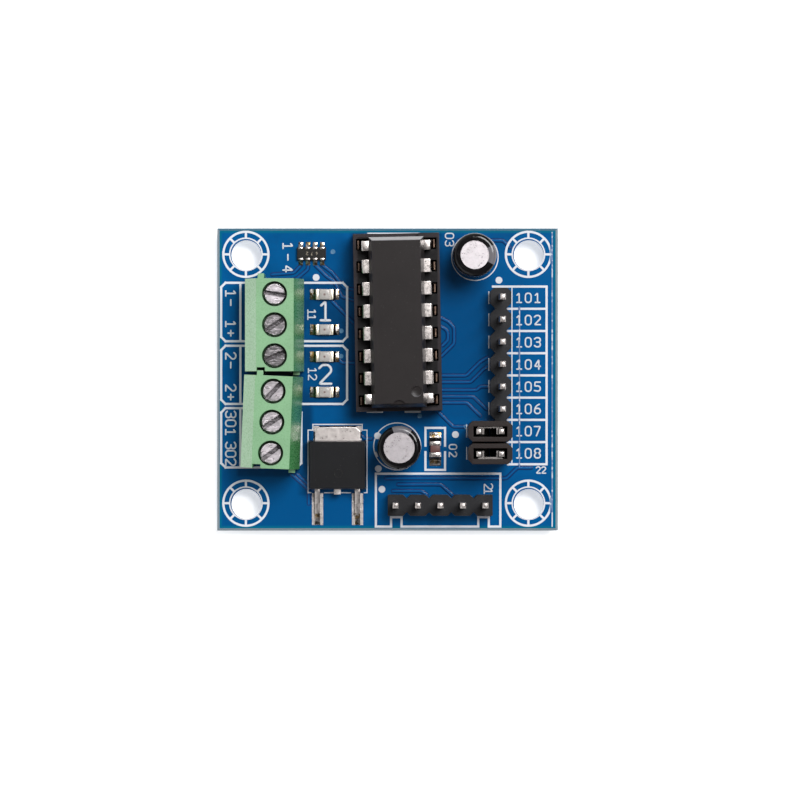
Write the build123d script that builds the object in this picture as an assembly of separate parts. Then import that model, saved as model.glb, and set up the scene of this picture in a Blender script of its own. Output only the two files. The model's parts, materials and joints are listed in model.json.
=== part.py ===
"""Two-channel direct-current motor driver module.

A blue circuit board carries a sixteen-pin driver chip in a socket, two three-way screw
terminals, three pin headers with two enable jumpers, a voltage regulator, two electrolytic
capacitors and a few surface-mount parts. Millimetres, +Z up out of the component side.
The origin is the centre of the four mounting holes, on the board's underside.
"""

from build123d import *
from math import cos, radians, sin
import os

# Board
board_length = 39.0
board_width = 34.6
board_thickness = 1.6
hole_inset_x = 3.35
hole_inset_y = 3.075
mounting_hole_radius = 1.7
edge_bevel_width = 0.28
edge_bevel_depth = 0.45

# Printed ink, pads, solder and trimmed leads
ink_thickness = 0.03
ink_line_width = 0.25
ink_thin_width = 0.12
ink_dot_radius = 0.39
pad_thickness = 0.04
trim_below_board = 1.5
joint_wall = 0.13
joint_spread = 0.45
joint_waist = 0.11
joint_waist_height = 0.4
joint_height = 1.0
hole_clearance = 0.1
solder_film = 0.07
solder_foot = 0.45
solder_hollow = 0.5

# Screw terminals
terminal_pitch = 3.5
terminal_poles = 3
terminal_front_reach = 3.39
terminal_back_reach = 3.21
upper_terminal_inset = 6.75
lower_terminal_inset = 6.45
upper_terminal_y = 6.15
lower_terminal_y = -4.85
upper_terminal_turn = 0.0
lower_terminal_turn = -2.3
terminal_front_height = 6.4
terminal_front_slope = 1.3
terminal_back_height = 4.6
terminal_back_slope = 1.05
tongue_offset = -1.55
tongue_width = 0.71
tongue_length = 0.55
groove_depth = 0.45
groove_clearance = 0.1
nub_offset = 2.4
nub_width = 0.72
nub_length = 0.42
nub_height = 5.0
wire_entry_width = 2.3
wire_entry_funnel = 0.3
wire_entry_corner = 0.5

# Rising clamp in each pole
cage_rest_height = 0.8
cage_length = 2.5
cage_width = 2.5
cage_floor = 0.45
cage_roof = 0.9
cage_side = 0.3
cage_window = 2.15
cage_travel = 1.2
cage_clearance = 0.12
ledge_gap = 0.4
ledge_thickness = 0.5
screw_head_radius = 1.25
screw_head_thickness = 1.5
screw_well_radius = 1.415
screw_recess = 0.7
screw_shank_radius = 0.85
screw_thread_clearance = 0.08
screw_slot_width = 0.5
screw_slot_depth = 0.75
screw_edge = 0.12
running_gap = 0.05
shank_end_gap = 0.15
slot_angles = (-9.0, 34.0, 24.0, 47.0, 33.0, 37.0)
contact_thickness = 0.45
contact_width = 1.1
contact_pin_width = 0.8

# Chip socket and chip
chip_centre = (1.15, 6.49)
chip_turn = 1.1
chip_pitch = 2.54
chip_positions = 8
row_spacing = 7.62
socket_width = 9.8
socket_end = 1.22
socket_height = 4.3
socket_standoff = 0.4
socket_foot_size = 0.4
rail_width = 2.35
cross_bar_drop = 0.9
end_bar_width = 1.2
middle_bar_width = 1.8
contact_cell_length = 1.3
contact_cell_width = 1.5
contact_cell_floor = 0.6
leaf_thickness = 0.15
leaf_width = 0.9
leaf_base_thickness = 0.2
leaf_top_gap = 0.2
leaf_flare = 0.3
leaf_pinch_low = 1.6
leaf_pinch_high = 2.6
socket_tail_width = 0.5
socket_tail_thickness = 0.3
chip_width = 6.3
chip_end = 0.77
chip_thickness = 3.3
chip_taper = 14.0
chip_lift = 0.4
chip_notch_radius = 0.8
chip_notch_depth = 0.3
chip_dimple_radius = 0.6
chip_dimple_depth = 0.12
chip_dimple_inset_x = 1.15
chip_dimple_inset_y = 1.75
lead_thickness = 0.25
lead_shoulder_width = 1.52
lead_end_width = 1.1
lead_tip_width = 0.46
lead_reach = 3.0
lead_embed = 0.3

# Pin headers
pin_pitch = 2.54
pin_size = 0.64
pin_above_strip = 6.0
pin_taper = 0.12
strip_width = 2.4
strip_height = 2.5
strip_corner = 0.6
output_strip_corner = 0.42
input_header_inset = 6.6
input_header_top_y = 9.35
input_header_pins = 8
input_pin_lean = 0.15
input_strip_end = 1.1
enable_header_pins = 2
output_header_x = 6.0
output_header_inset = 2.95
output_header_pins = 5
output_pin_lean = -0.1
output_strip_end = 0.9

# Jumpers on the last two positions of the input header
jumper_length = 5.0
jumper_width = 2.34
jumper_height = 5.7
jumper_corner = 0.5
jumper_gap = 0.1
jumper_cavity_length = 3.8
jumper_slot_front = 0.62
clip_thickness = 0.2
clip_clearance = 0.05
clip_length = 2.8
clip_height = 4.4
clip_top_gap = 0.5
clip_flange_depth = 0.7

# Electrolytic capacitors
can_radius = 2.35
sleeve_thickness = 0.12
can_height = 6.9
can_edge = 0.35
seal_radius = 2.0
seal_thickness = 1.0
capacitor_lead_radius = 0.25
capacitor_lead_span = 2.0
capacitor_1_centre = (1.33, -7.75)
capacitor_1_circle_centre = (1.1, -7.65)
capacitor_1_circle_radius = 2.69
capacitor_1_stripe = 82.0
capacitor_1_fold_radius = 1.76
capacitor_2_centre = (9.9, 14.1)
capacitor_2_circle_centre = (9.98, 13.98)
capacitor_2_circle_radius = 2.66
capacitor_2_stripe = 0.0
capacitor_2_fold_radius = 1.62

# Voltage regulator
regulator_centre = (-5.72, -9.75)
regulator_width = 6.6
regulator_length = 5.6
regulator_height = 2.3
regulator_taper = 7.0
regulator_skirt = 1.2
tab_width = 5.2
tab_reach = 1.5
tab_thickness = 0.5
tab_corner = 0.5
tab_embed = 4.8
stub_width = 0.8
stub_reach = 0.6
regulator_lead_span = 4.57
regulator_lead_width = 0.6
regulator_lead_thickness = 0.5
regulator_lead_height = 1.0
regulator_shoulder = 0.3
regulator_slope = 1.3
regulator_foot = 1.15
regulator_embed = 0.5
regulator_pad_width = 1.28
regulator_pad_length = 3.64
regulator_pad_toe = 1.34
tab_pad_margin = 0.14
tab_solder_height = 0.4
tab_solder_length = 0.8

# Light-emitting diodes
led_inset = 12.3
led_rows = (9.72, 5.69, 2.6, -1.45)
led_length = 2.0
led_width = 1.2
led_base_height = 0.35
led_end = 0.32
led_lens_length = 1.25
led_lens_height = 0.4
led_lens_taper = 8.0
led_pad_reach = 0.7

# Resistor array
array_centre = (-8.69, 14.38)
array_length = 3.3
array_width = 1.5
array_height = 0.5
array_positions = 4
array_pitch = 0.82
array_terminal_width = 0.5
array_terminal_depth = 0.25
array_pad_reach = 0.6
array_solder_height = 0.36

# Ceramic chip capacitor
ceramic_centre = (5.45, -7.94)
ceramic_length = 1.8
ceramic_width = 1.12
ceramic_height = 0.85
ceramic_end = 0.5
ceramic_pad_width = 1.34
ceramic_pad_reach = 1.05
ceramic_solder_height = 0.6

# Printed outlines
wheel_outer_radius = 2.58
wheel_inner_radius = 1.85
wheel_inner_width = 0.16
wheel_spokes = 8
wheel_shift = (-0.05, 0.08)
terminal_box_inset = 0.47
terminal_box_length = 14.4
supply_box_length = 9.17
label_width = 2.2
upper_box_top = 11.05
upper_box_bottom = 4.37
lower_box_top = 3.85
lower_box_bottom = -2.8
supply_box_top = -3.28
supply_box_bottom = -10.06
box_corner = 0.5
row_line_inset = 1.32
row_line_length = 4.41
row_corner_length = 6.13
output_box_left = -1.34
output_box_right = 12.89
output_box_inset = 0.48
output_box_width = 6.05
output_notch_width = 1.2
output_notch_depth = 1.07
output_notch_left = 1.0
output_notch_right = 10.97
ceramic_box_length = 4.8
ceramic_box_width = 2.24
ceramic_box_gap = 0.75
regulator_outline_half = 3.37
regulator_outline_step = 0.55
regulator_outline_low = 3.2
regulator_outline_middle = 3.96
regulator_outline_top = 4.61
regulator_outline_gap = 0.08
edge_line_inset = 0.68
edge_line_end = 0.5
header_outline_gap = 0.12
chip_line_x = 0.72
chip_line_half = 2.97
chip_line_gap = 2.72
chip_line_top = 16.72
chip_line_bottom = -3.69
guide_line_inset = 4.41
guide_line_top = 8.28
guide_line_bottom = -10.0
dot_centres = (
    (12.73, 11.35),
    (-1.06, -10.2),
    (-0.65, -12.56),
    (7.76, -6.3),
    (-1.14, -6.44),
    (-8.17, 11.66),
)

# Levels and places worked out from the sizes above
left_edge = -board_length / 2
right_edge = board_length / 2
front_edge = -board_width / 2
hole_span_x = board_length - 2 * hole_inset_x
hole_span_y = board_width - 2 * hole_inset_y
upper_terminal_centre = (left_edge + upper_terminal_inset, upper_terminal_y)
lower_terminal_centre = (left_edge + lower_terminal_inset, lower_terminal_y)
input_header_x = right_edge - input_header_inset
output_header_centre = (output_header_x, front_edge + output_header_inset)
board_top = board_thickness
seat = board_top + ink_thickness
pad_top = board_top + pad_thickness
tail_level = -trim_below_board

LOW = (Align.CENTER, Align.CENTER, Align.MIN)


def block(x0, x1, y0, y1, z0, z1):
    """Box between two corners."""
    middle = Pos((x0 + x1) / 2, (y0 + y1) / 2, (z0 + z1) / 2)
    return middle * Box(x1 - x0, y1 - y0, z1 - z0)


def post(x, y, z0, z1, radius):
    """Upright cylinder between two levels."""
    return Pos(x, y, z0) * Cylinder(radius, z1 - z0, align=LOW)


def profile_xz(points, y_width):
    """Outline in X and Z, given its width along Y about Y = 0."""
    face = Plane.XZ * Polygon(*points, align=None)
    return extrude(face, amount=y_width / 2, both=True)


def profile_yz(points, x_width):
    """Outline in Y and Z, given its width along X about X = 0."""
    face = Plane.YZ * Polygon(*points, align=None)
    return extrude(face, amount=x_width / 2, both=True)


def plate(face, z0, z1):
    """Flat face drawn at Z = 0, given its thickness between two levels."""
    return extrude(Pos(0, 0, z0) * face, amount=z1 - z0, dir=(0, 0, 1))


def chamfered_rectangle(length, width, corner):
    """Rectangle with its four corners cut off."""
    x = length / 2
    y = width / 2
    points = [
        (x, corner - y),
        (x, y - corner),
        (x - corner, y),
        (corner - x, y),
        (-x, y - corner),
        (-x, corner - y),
        (corner - x, -y),
        (x - corner, -y),
    ]
    return Polygon(*points, align=None)


def solids_of(shapes):
    """Every solid in a list of shapes."""
    return [solid for shape in shapes for solid in shape.solids()]


def save(name, *shapes):
    """Write one sub-part as its own file."""
    solids = solids_of(shapes)
    part = solids[0] if len(solids) == 1 else Compound(children=solids)
    export_step(part, f"parts/{name}.step")


def turned_place(centre, angle):
    """Where a part stands on the board, and how it is turned."""
    return Pos(centre[0], centre[1], 0) * Rot(0, 0, angle)


# Every lead that goes through the board: its place, its hole's radius and its solid
through_leads = []


def add_lead(place, x, y, reach, solid):
    """Note a lead, so that the board gets its hole and the solder its joint."""
    spot = (place * Pos(x, y, 0)).position
    through_leads.append((spot.X, spot.Y, reach + hole_clearance, solid))


# Screw terminals: levels above the seat, from the clamp outwards
cage_height = cage_floor + cage_window + cage_roof
ledge_bottom = seat + cage_rest_height + cage_height + cage_travel + ledge_gap
ledge_top = ledge_bottom + ledge_thickness
head_bottom = ledge_top + running_gap
head_top = head_bottom + screw_head_thickness
terminal_top = head_top + screw_recess
cage_bottom = seat + cage_rest_height
window_bottom = cage_bottom + cage_floor
window_top = window_bottom + cage_window
contact_top = window_top - running_gap
shank_bottom = contact_top + shank_end_gap
terminal_length = terminal_pitch * terminal_poles
pole_offsets = [terminal_pitch * (k - (terminal_poles - 1) / 2) for k in reversed(range(terminal_poles))]
cavity_front = -cage_length / 2 - cage_clearance
contact_front = cage_length / 2 + cage_clearance
contact_back = contact_front + contact_thickness


def terminal_housing():
    """Green housing of one block: wells, clamp chambers, wire entries and side couplings."""
    front = -terminal_front_reach
    back = terminal_back_reach
    outline = [
        (front, seat),
        (back, seat),
        (back, seat + terminal_back_height),
        (back - terminal_back_slope, terminal_top),
        (front + terminal_front_slope, terminal_top),
        (front, seat + terminal_front_height),
    ]
    housing = profile_xz(outline, terminal_length)
    end = terminal_length / 2
    tongue_x = (tongue_offset - tongue_width / 2, tongue_offset + tongue_width / 2)
    nub_x = (nub_offset - nub_width / 2, nub_offset + nub_width / 2)
    housing += block(*tongue_x, end, end + tongue_length, seat, terminal_top)
    housing += block(*nub_x, -end - nub_length, -end, seat, seat + nub_height)
    cuts = [
        block(
            tongue_x[0] - groove_clearance,
            tongue_x[1] + groove_clearance,
            -end,
            groove_depth - end,
            seat,
            terminal_top,
        ),
        block(
            nub_x[0] - groove_clearance,
            nub_x[1] + groove_clearance,
            end - groove_depth,
            end,
            seat,
            seat + nub_height + groove_clearance,
        ),
    ]
    half_cavity = cage_width / 2 + cage_clearance
    entry_middle = (window_bottom + contact_top - contact_thickness) / 2
    entry_height = contact_top - contact_thickness - window_bottom + 2 * wire_entry_funnel
    for y in pole_offsets:
        cuts.append(post(0, y, ledge_top, terminal_top, screw_well_radius))
        cuts.append(post(0, y, ledge_bottom, ledge_top, screw_shank_radius + screw_thread_clearance))
        cuts.append(block(cavity_front, contact_back, y - half_cavity, y + half_cavity, seat, ledge_bottom))
        entry = Plane.YZ * Pos(y, entry_middle, front)
        mouth = RectangleRounded(wire_entry_width, entry_height, wire_entry_corner)
        funnel = RectangleRounded(
            wire_entry_width + wire_entry_funnel, entry_height + wire_entry_funnel, wire_entry_corner
        )
        cuts.append(extrude(entry * mouth, amount=cavity_front - front))
        cuts.append(extrude(entry * funnel, amount=wire_entry_funnel))
    return housing - cuts


def terminal_screw(angle):
    """Slotted clamp screw, standing on the board's origin."""
    head = post(0, 0, head_bottom, head_top, screw_head_radius)
    head = chamfer(head.edges().filter_by(GeomType.CIRCLE).sort_by(Axis.Z)[-1], screw_edge)
    slot = Box(3 * screw_head_radius, screw_slot_width, 2 * screw_slot_depth)
    head -= Pos(0, 0, head_top) * Rot(0, 0, angle) * slot
    shank = post(0, 0, shank_bottom, head_bottom, screw_shank_radius)
    shank = chamfer(shank.edges().filter_by(GeomType.CIRCLE).sort_by(Axis.Z)[0], screw_edge)
    return head + shank


def clamp_cage():
    """Steel cage that the screw lifts, open front and back for the wire."""
    half = cage_width / 2
    cage = block(-cage_length / 2, cage_length / 2, -half, half, cage_bottom, cage_bottom + cage_height)
    cage -= block(-cage_length, cage_length, cage_side - half, half - cage_side, window_bottom, window_top)
    thread_radius = screw_shank_radius + screw_thread_clearance
    return cage - post(0, 0, window_top, cage_bottom + cage_height, thread_radius)


def terminal_contact():
    """Fixed contact: a tab inside the cage, a leg behind it and the solder pin."""
    half = contact_width / 2
    half_pin = contact_pin_width / 2
    tab = block(-cage_length / 2, contact_back, -half, half, contact_top - contact_thickness, contact_top)
    leg = block(contact_front, contact_back, -half, half, seat, contact_top)
    pin = block(contact_front, contact_back, -half_pin, half_pin, tail_level, seat)
    return tab + leg + pin


def build_terminals():
    """Both blocks, with their screws, cages and contacts."""
    blocks = (
        ("upper", upper_terminal_centre, upper_terminal_turn),
        ("lower", lower_terminal_centre, lower_terminal_turn),
    )
    housing = terminal_housing()
    cage = clamp_cage()
    contact = terminal_contact()
    pin_reach = (contact_thickness**2 + contact_pin_width**2) ** 0.5 / 2
    pin_x = (contact_front + contact_back) / 2
    number = 0
    for label, centre, turn in blocks:
        place = turned_place(centre, turn)
        save(f"terminal_housing_{label}", place * housing)
        contacts = []
        for y in pole_offsets:
            pole = place * Pos(0, y, 0)
            upright = Pos(pole.position.X, pole.position.Y, 0)
            save(f"terminal_screw_{number + 1}", upright * terminal_screw(slot_angles[number]))
            save(f"clamp_cage_{number + 1}", pole * cage)
            contacts.append(pole * contact)
            add_lead(place, pin_x, y, pin_reach, contacts[-1])
            number += 1
        save(f"terminal_contacts_{label}", *contacts)


# Chip socket: levels and the places of its sixteen positions
socket_bottom = seat + socket_standoff
socket_top = seat + socket_height
cell_bottom = socket_bottom + contact_cell_floor
leaf_top = socket_top - leaf_top_gap
chip_bottom = socket_top + chip_lift
chip_middle = chip_bottom + chip_thickness / 2
chip_top = chip_bottom + chip_thickness
row_x = row_spacing / 2
row_length = (chip_positions - 1) * chip_pitch
socket_length = row_length + 2 * socket_end
chip_length = row_length + 2 * chip_end
chip_offsets = [chip_pitch * k - row_length / 2 for k in range(chip_positions)]


def socket_frame():
    """Two rails joined by three bars, on four low feet, with a cell for each contact."""
    outer = socket_width / 2
    inner = outer - rail_width
    end = socket_length / 2
    bar_top = socket_top - cross_bar_drop
    frame = block(-outer, -inner, -end, end, socket_bottom, socket_top)
    frame += block(inner, outer, -end, end, socket_bottom, socket_top)
    bars = (
        (-end, end_bar_width - end),
        (-middle_bar_width / 2, middle_bar_width / 2),
        (end - end_bar_width, end),
    )
    for low, high in bars:
        frame += block(-inner, inner, low, high, socket_bottom, bar_top)
    for x in (-outer, outer - socket_foot_size):
        for y in (-end, end - socket_foot_size):
            frame += block(x, x + socket_foot_size, y, y + socket_foot_size, seat, socket_bottom)
    half_x = contact_cell_width / 2
    half_y = contact_cell_length / 2
    tail_x = socket_tail_thickness / 2
    tail_y = socket_tail_width / 2
    cuts = []
    for x in (-row_x, row_x):
        for y in chip_offsets:
            cuts.append(block(x - half_x, x + half_x, y - half_y, y + half_y, cell_bottom, socket_top))
            cuts.append(block(x - tail_x, x + tail_x, y - tail_y, y + tail_y, socket_bottom, cell_bottom))
    return frame - cuts


def socket_contact():
    """Two sprung leaves that pinch a chip lead, on one base with a solder tail."""
    base_top = cell_bottom + leaf_base_thickness
    grip = lead_thickness / 2
    foot = contact_cell_width / 2 - leaf_thickness - running_gap
    tip = grip + leaf_flare
    levels = (cell_bottom, cell_bottom + leaf_pinch_low, cell_bottom + leaf_pinch_high, leaf_top)
    inner = list(zip((foot, grip, grip, tip), levels))
    outer = [(x + leaf_thickness, z) for x, z in reversed(inner)]
    leaf = profile_xz(inner + outer, leaf_width)
    base = block(-foot, foot, -leaf_width / 2, leaf_width / 2, cell_bottom, base_top)
    tail_x = socket_tail_thickness / 2
    tail_y = socket_tail_width / 2
    tail = block(-tail_x, tail_x, -tail_y, tail_y, tail_level, cell_bottom)
    return base + leaf + mirror(leaf, Plane.YZ) + tail


def chip_lead(shoulder_low, shoulder_high):
    """Flat lead for the +X row: out of the body, down to the shoulder, then a narrow tip."""
    body_side = chip_width / 2
    outside = row_x + lead_thickness / 2
    bend = lead_thickness / 2
    top = chip_middle + lead_thickness / 2
    outline = [
        (body_side - lead_embed, top),
        (outside - bend, top),
        (outside, top - bend),
        (outside, socket_top),
        (outside - lead_thickness, socket_top),
        (outside - lead_thickness, top - lead_thickness),
        (body_side - lead_embed, top - lead_thickness),
    ]
    shoulder = profile_xz(outline, shoulder_high - shoulder_low)
    shoulder = Pos(0, (shoulder_low + shoulder_high) / 2, 0) * shoulder
    half = lead_tip_width / 2
    tip = block(outside - lead_thickness, outside, -half, half, socket_top - lead_reach, socket_top)
    return shoulder + tip


def chip_body(leads):
    """Moulded body with drafted halves, an end notch and a round dimple at the first lead."""
    half = chip_thickness / 2
    upper = extrude(Rectangle(chip_width, chip_length), amount=half, taper=chip_taper)
    body = Pos(0, 0, chip_middle) * upper
    body += Pos(0, 0, chip_middle) * mirror(upper, Plane.XY)
    end = -chip_length / 2
    body -= post(0, end, chip_top - chip_notch_depth, chip_top, chip_notch_radius)
    dimple_x = chip_width / 2 - chip_dimple_inset_x
    dimple_y = end + chip_dimple_inset_y
    body -= post(dimple_x, dimple_y, chip_top - chip_dimple_depth, chip_top, chip_dimple_radius)
    return body - leads


def build_chip():
    """Socket, contacts, chip and its leads, all turned together."""
    place = turned_place(chip_centre, chip_turn)
    contacts = []
    leads = []
    half = lead_shoulder_width / 2
    inner = lead_end_width - half
    last = chip_positions - 1
    contact = socket_contact()
    tail_reach = (socket_tail_thickness**2 + socket_tail_width**2) ** 0.5 / 2
    shoulders = {0: (-inner, half), last: (-half, inner)}
    for k, y in enumerate(chip_offsets):
        lead = Pos(0, y, 0) * chip_lead(*shoulders.get(k, (-half, half)))
        leads += [lead, mirror(lead, Plane.YZ)]
        for x in (-row_x, row_x):
            contacts.append(place * Pos(x, y, 0) * contact)
            add_lead(place, x, y, tail_reach, contacts[-1])
    save("socket_frame", place * socket_frame())
    save("socket_contacts", *contacts)
    save("chip_body", place * chip_body(leads))
    save("chip_leads", *[place * lead for lead in leads])


# Pin headers
strip_top = seat + strip_height
pin_top = strip_top + pin_above_strip


def header_strip(count, end, corner):
    """Black strip of eight-sided segments along Y, cut off past its first and last pin."""
    half = strip_width / 2
    neck = half - corner
    half_pitch = pin_pitch / 2
    side = [(neck, -half_pitch)]
    for k in range(count):
        y = k * pin_pitch
        side += [
            (half, y - half_pitch + corner),
            (half, y + half_pitch - corner),
            (neck, y + half_pitch),
        ]
    outline = side + [(-x, y) for x, y in reversed(side)]
    strip = plate(Polygon(*outline, align=None), seat, strip_top)
    strip &= block(-half, half, -end, (count - 1) * pin_pitch + end, seat, strip_top)
    pin = pin_size / 2
    for k in range(count):
        y = k * pin_pitch
        strip -= block(-pin, pin, y - pin, y + pin, seat, strip_top)
    return strip


def header_pin(lean):
    """Square pin with tapered ends, whose free part may lean along X."""
    half = pin_size / 2
    low = tail_level + pin_taper
    high = pin_top - pin_taper
    slim = half - pin_taper
    across = [
        (-slim, tail_level),
        (slim, tail_level),
        (half, low),
        (half, strip_top),
        (half + lean, high),
        (slim + lean, pin_top),
        (lean - slim, pin_top),
        (lean - half, high),
        (-half, strip_top),
        (-half, low),
    ]
    along = [
        (-slim, tail_level),
        (slim, tail_level),
        (half, low),
        (half, high),
        (slim, pin_top),
        (-slim, pin_top),
        (-half, high),
        (-half, low),
    ]
    return profile_xz(across, pin_size) & profile_yz(along, 2 * (pin_size + abs(lean)))


def build_header(name, place, count, leans, end, corner=strip_corner):
    """One strip and its pins, running along the place's +Y from its first pin."""
    save(f"{name}_strip", place * header_strip(count, end, corner))
    pins = []
    for k in range(count):
        pins.append(place * Pos(0, k * pin_pitch, 0) * header_pin(leans[k]))
        add_lead(place, 0, k * pin_pitch, pin_size / 2**0.5, pins[-1])
    save(f"{name}_pins", *pins)


def build_headers():
    """Input column, the enable pair beside its last two pins, and the output row."""
    last_y = input_header_top_y - (input_header_pins - 1) * pin_pitch
    held = [0.0] * enable_header_pins
    free = [input_pin_lean] * (input_header_pins - enable_header_pins)
    input_place = Pos(input_header_x, last_y, 0)
    enable_place = Pos(input_header_x - pin_pitch, last_y, 0)
    build_header("input_header", input_place, input_header_pins, held + free, input_strip_end)
    build_header("enable_header", enable_place, enable_header_pins, held, input_strip_end)
    first_x = output_header_centre[0] - (output_header_pins - 1) * pin_pitch / 2
    along_x = Pos(first_x, output_header_centre[1], 0) * Rot(0, 0, -90)
    leans = [output_pin_lean] * output_header_pins
    build_header(
        "output_header", along_x, output_header_pins, leans, output_strip_end, output_strip_corner
    )


# Jumpers: the clip stands behind the two pins, and its flanges press between them
jumper_bottom = strip_top + jumper_gap
jumper_top = jumper_bottom + jumper_height
clip_inner_y = pin_size / 2 + clip_clearance
clip_outer_y = clip_inner_y + clip_thickness
flange_outer_x = pin_pitch / 2 - pin_size / 2 - clip_clearance


def jumper_cap():
    """Black cap with one open slot down through it, for two pins side by side along X."""
    cap = plate(chamfered_rectangle(jumper_length, jumper_width, jumper_corner), jumper_bottom, jumper_top)
    half = jumper_cavity_length / 2
    return cap - block(-half, half, -jumper_slot_front, clip_outer_y, jumper_bottom, jumper_top)


def jumper_clip():
    """Folded contact strip: a back plate and two flanges that touch the pins."""
    high = jumper_top - clip_top_gap
    low = high - clip_height
    front = clip_inner_y - clip_flange_depth
    clip = block(-clip_length / 2, clip_length / 2, clip_inner_y, clip_outer_y, low, high)
    clip += block(flange_outer_x - clip_thickness, flange_outer_x, front, clip_inner_y, low, high)
    clip += block(-flange_outer_x, clip_thickness - flange_outer_x, front, clip_inner_y, low, high)
    return clip


def build_jumpers():
    """Two jumpers side by side, the lower one turned round."""
    last_y = input_header_top_y - (input_header_pins - 1) * pin_pitch
    middle_x = input_header_x - pin_pitch / 2
    turns = (180, 0)
    for k in range(enable_header_pins):
        place = Pos(middle_x, last_y + k * pin_pitch, 0) * Rot(0, 0, turns[k])
        save(f"jumper_cap_{enable_header_pins - k}", place * jumper_cap())
        save(f"jumper_clip_{enable_header_pins - k}", place * jumper_clip())


def build_capacitor(name, centre, stripe, fold_radius):
    """Aluminium can in a shrunk sleeve, closed by a rubber seal that its two leads pass."""
    place = turned_place(centre, stripe)
    top = seat + can_height
    can = post(0, 0, seat, top, can_radius)
    can = fillet(can.edges().filter_by(GeomType.CIRCLE).sort_by(Axis.Z)[-1], can_edge)
    sleeve_top = top + sleeve_thickness
    sleeve = post(0, 0, seat, sleeve_top, can_radius + sleeve_thickness)
    sleeve = fillet(
        sleeve.edges().filter_by(GeomType.CIRCLE).sort_by(Axis.Z)[-1], can_edge + sleeve_thickness
    )
    sleeve -= can
    sleeve -= post(0, 0, top, sleeve_top, fold_radius)
    recess = post(0, 0, seat, seat + seal_thickness, seal_radius)
    half = capacitor_lead_span / 2
    leads = [post(x, 0, tail_level, seat + seal_thickness, capacitor_lead_radius) for x in (-half, half)]
    save(f"{name}_can", place * (can - recess))
    save(f"{name}_sleeve", place * sleeve)
    save(f"{name}_seal", place * (recess - leads))
    placed = [place * lead for lead in leads]
    save(f"{name}_leads", *placed)
    for x, lead in zip((-half, half), placed):
        add_lead(place, x, 0, capacitor_lead_radius, lead)


# Pads and solder of the surface-mount parts, gathered while they are built
pads = []
fillets = []


def add_pad(place, x0, x1, y0, y1):
    """Copper land under a surface-mount lead."""
    pads.append(place * block(x0, x1, y0, y1, board_top, pad_top))


def solder_wedge(face, outer, half_width, height):
    """Film of solder on a pad, hollowed upwards where it meets an upright face, along X."""
    film_top = pad_top + solder_film
    foot = (outer - face) * solder_foot
    climb = height - solder_film
    outline = [
        (face, pad_top),
        (outer, pad_top),
        (outer - solder_film, film_top),
        (face + foot, film_top),
        (face + foot * solder_hollow, film_top + climb * solder_hollow**2),
        (face, film_top + climb),
    ]
    return profile_xz(outline, 2 * half_width)


def build_regulator():
    """Three-lead regulator, soldered by its tab, with its leads pointing to -Y."""
    place = turned_place(regulator_centre, 0)
    half_length = regulator_length / 2
    half_width = regulator_width / 2
    skirt_top = pad_top + regulator_skirt
    top = pad_top + regulator_height
    body = block(-half_width, half_width, -half_length, half_length, pad_top, skirt_top)
    crown = Rectangle(regulator_width, regulator_length)
    body += Pos(0, 0, skirt_top) * extrude(crown, amount=top - skirt_top, taper=regulator_taper)

    tab_y = half_length + tab_reach
    tab = block(
        -tab_width / 2, tab_width / 2, half_length - tab_embed, tab_y, pad_top, pad_top + tab_thickness
    )
    far_corners = tab.edges().filter_by(Axis.Z).sort_by(Axis.Y)[-2:]
    tab = chamfer(far_corners, tab_corner)
    lead_low = pad_top + regulator_lead_height
    lead_high = lead_low + regulator_lead_thickness
    stub_end = -half_length - stub_reach
    embed_y = regulator_embed - half_length
    stub = block(-stub_width / 2, stub_width / 2, stub_end, embed_y, lead_low, lead_high)
    riser = block(
        -stub_width / 2,
        stub_width / 2,
        embed_y,
        embed_y + regulator_lead_thickness,
        pad_top,
        lead_high,
    )
    tab += stub + riser

    shoulder_y = -half_length - regulator_shoulder
    heel_y = shoulder_y - regulator_slope
    toe_y = heel_y - regulator_foot
    outline = [
        (embed_y, lead_high),
        (shoulder_y, lead_high),
        (heel_y, pad_top + regulator_lead_thickness),
        (toe_y, pad_top + regulator_lead_thickness),
        (toe_y, pad_top),
        (heel_y, pad_top),
        (shoulder_y, lead_low),
        (embed_y, lead_low),
    ]
    leads = []
    for x in (-regulator_lead_span / 2, regulator_lead_span / 2):
        leads.append(Pos(x, 0, 0) * profile_yz(outline, regulator_lead_width))
        pad_x = (x - regulator_pad_width / 2, x + regulator_pad_width / 2)
        pad_end = toe_y - regulator_pad_toe
        add_pad(place, *pad_x, pad_end, pad_end + regulator_pad_length)
        toe = place * Pos(x, 0, 0) * Rot(0, 0, -90)
        fillets.append(toe * solder_wedge(-toe_y, -pad_end, regulator_lead_width / 2, tab_thickness))
    pad_half = tab_width / 2 + tab_pad_margin
    add_pad(place, -pad_half, pad_half, half_length - tab_embed, tab_y + tab_pad_margin)
    rim = place * Pos(0, tab_y, 0) * Rot(0, 0, 90)
    fillets.append(rim * solder_wedge(0, tab_pad_margin, tab_width / 2 - tab_corner, tab_solder_height))
    side_y = tab_y - tab_corner - tab_solder_length / 2
    for side in (1, -1):
        rim = place * Pos(side * tab_width / 2, side_y, 0) * Rot(0, 0, 0 if side > 0 else 180)
        fillets.append(rim * solder_wedge(0, tab_pad_margin, tab_solder_length / 2, tab_solder_height))
    save("regulator_body", place * (body - [tab] - leads))
    save("regulator_tab", place * tab)
    save("regulator_leads", *[place * lead for lead in leads])


def add_end_joints(place, half_length, half_width, reach, height):
    """Pad and solder at both ends of a two-ended chip that runs along X."""
    for side in (1, -1):
        end = place * Rot(0, 0, 0 if side > 0 else 180)
        add_pad(end, half_length - reach / 2, half_length + reach, -half_width, half_width)
        fillets.append(end * solder_wedge(half_length, half_length + reach, half_width, height))


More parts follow.
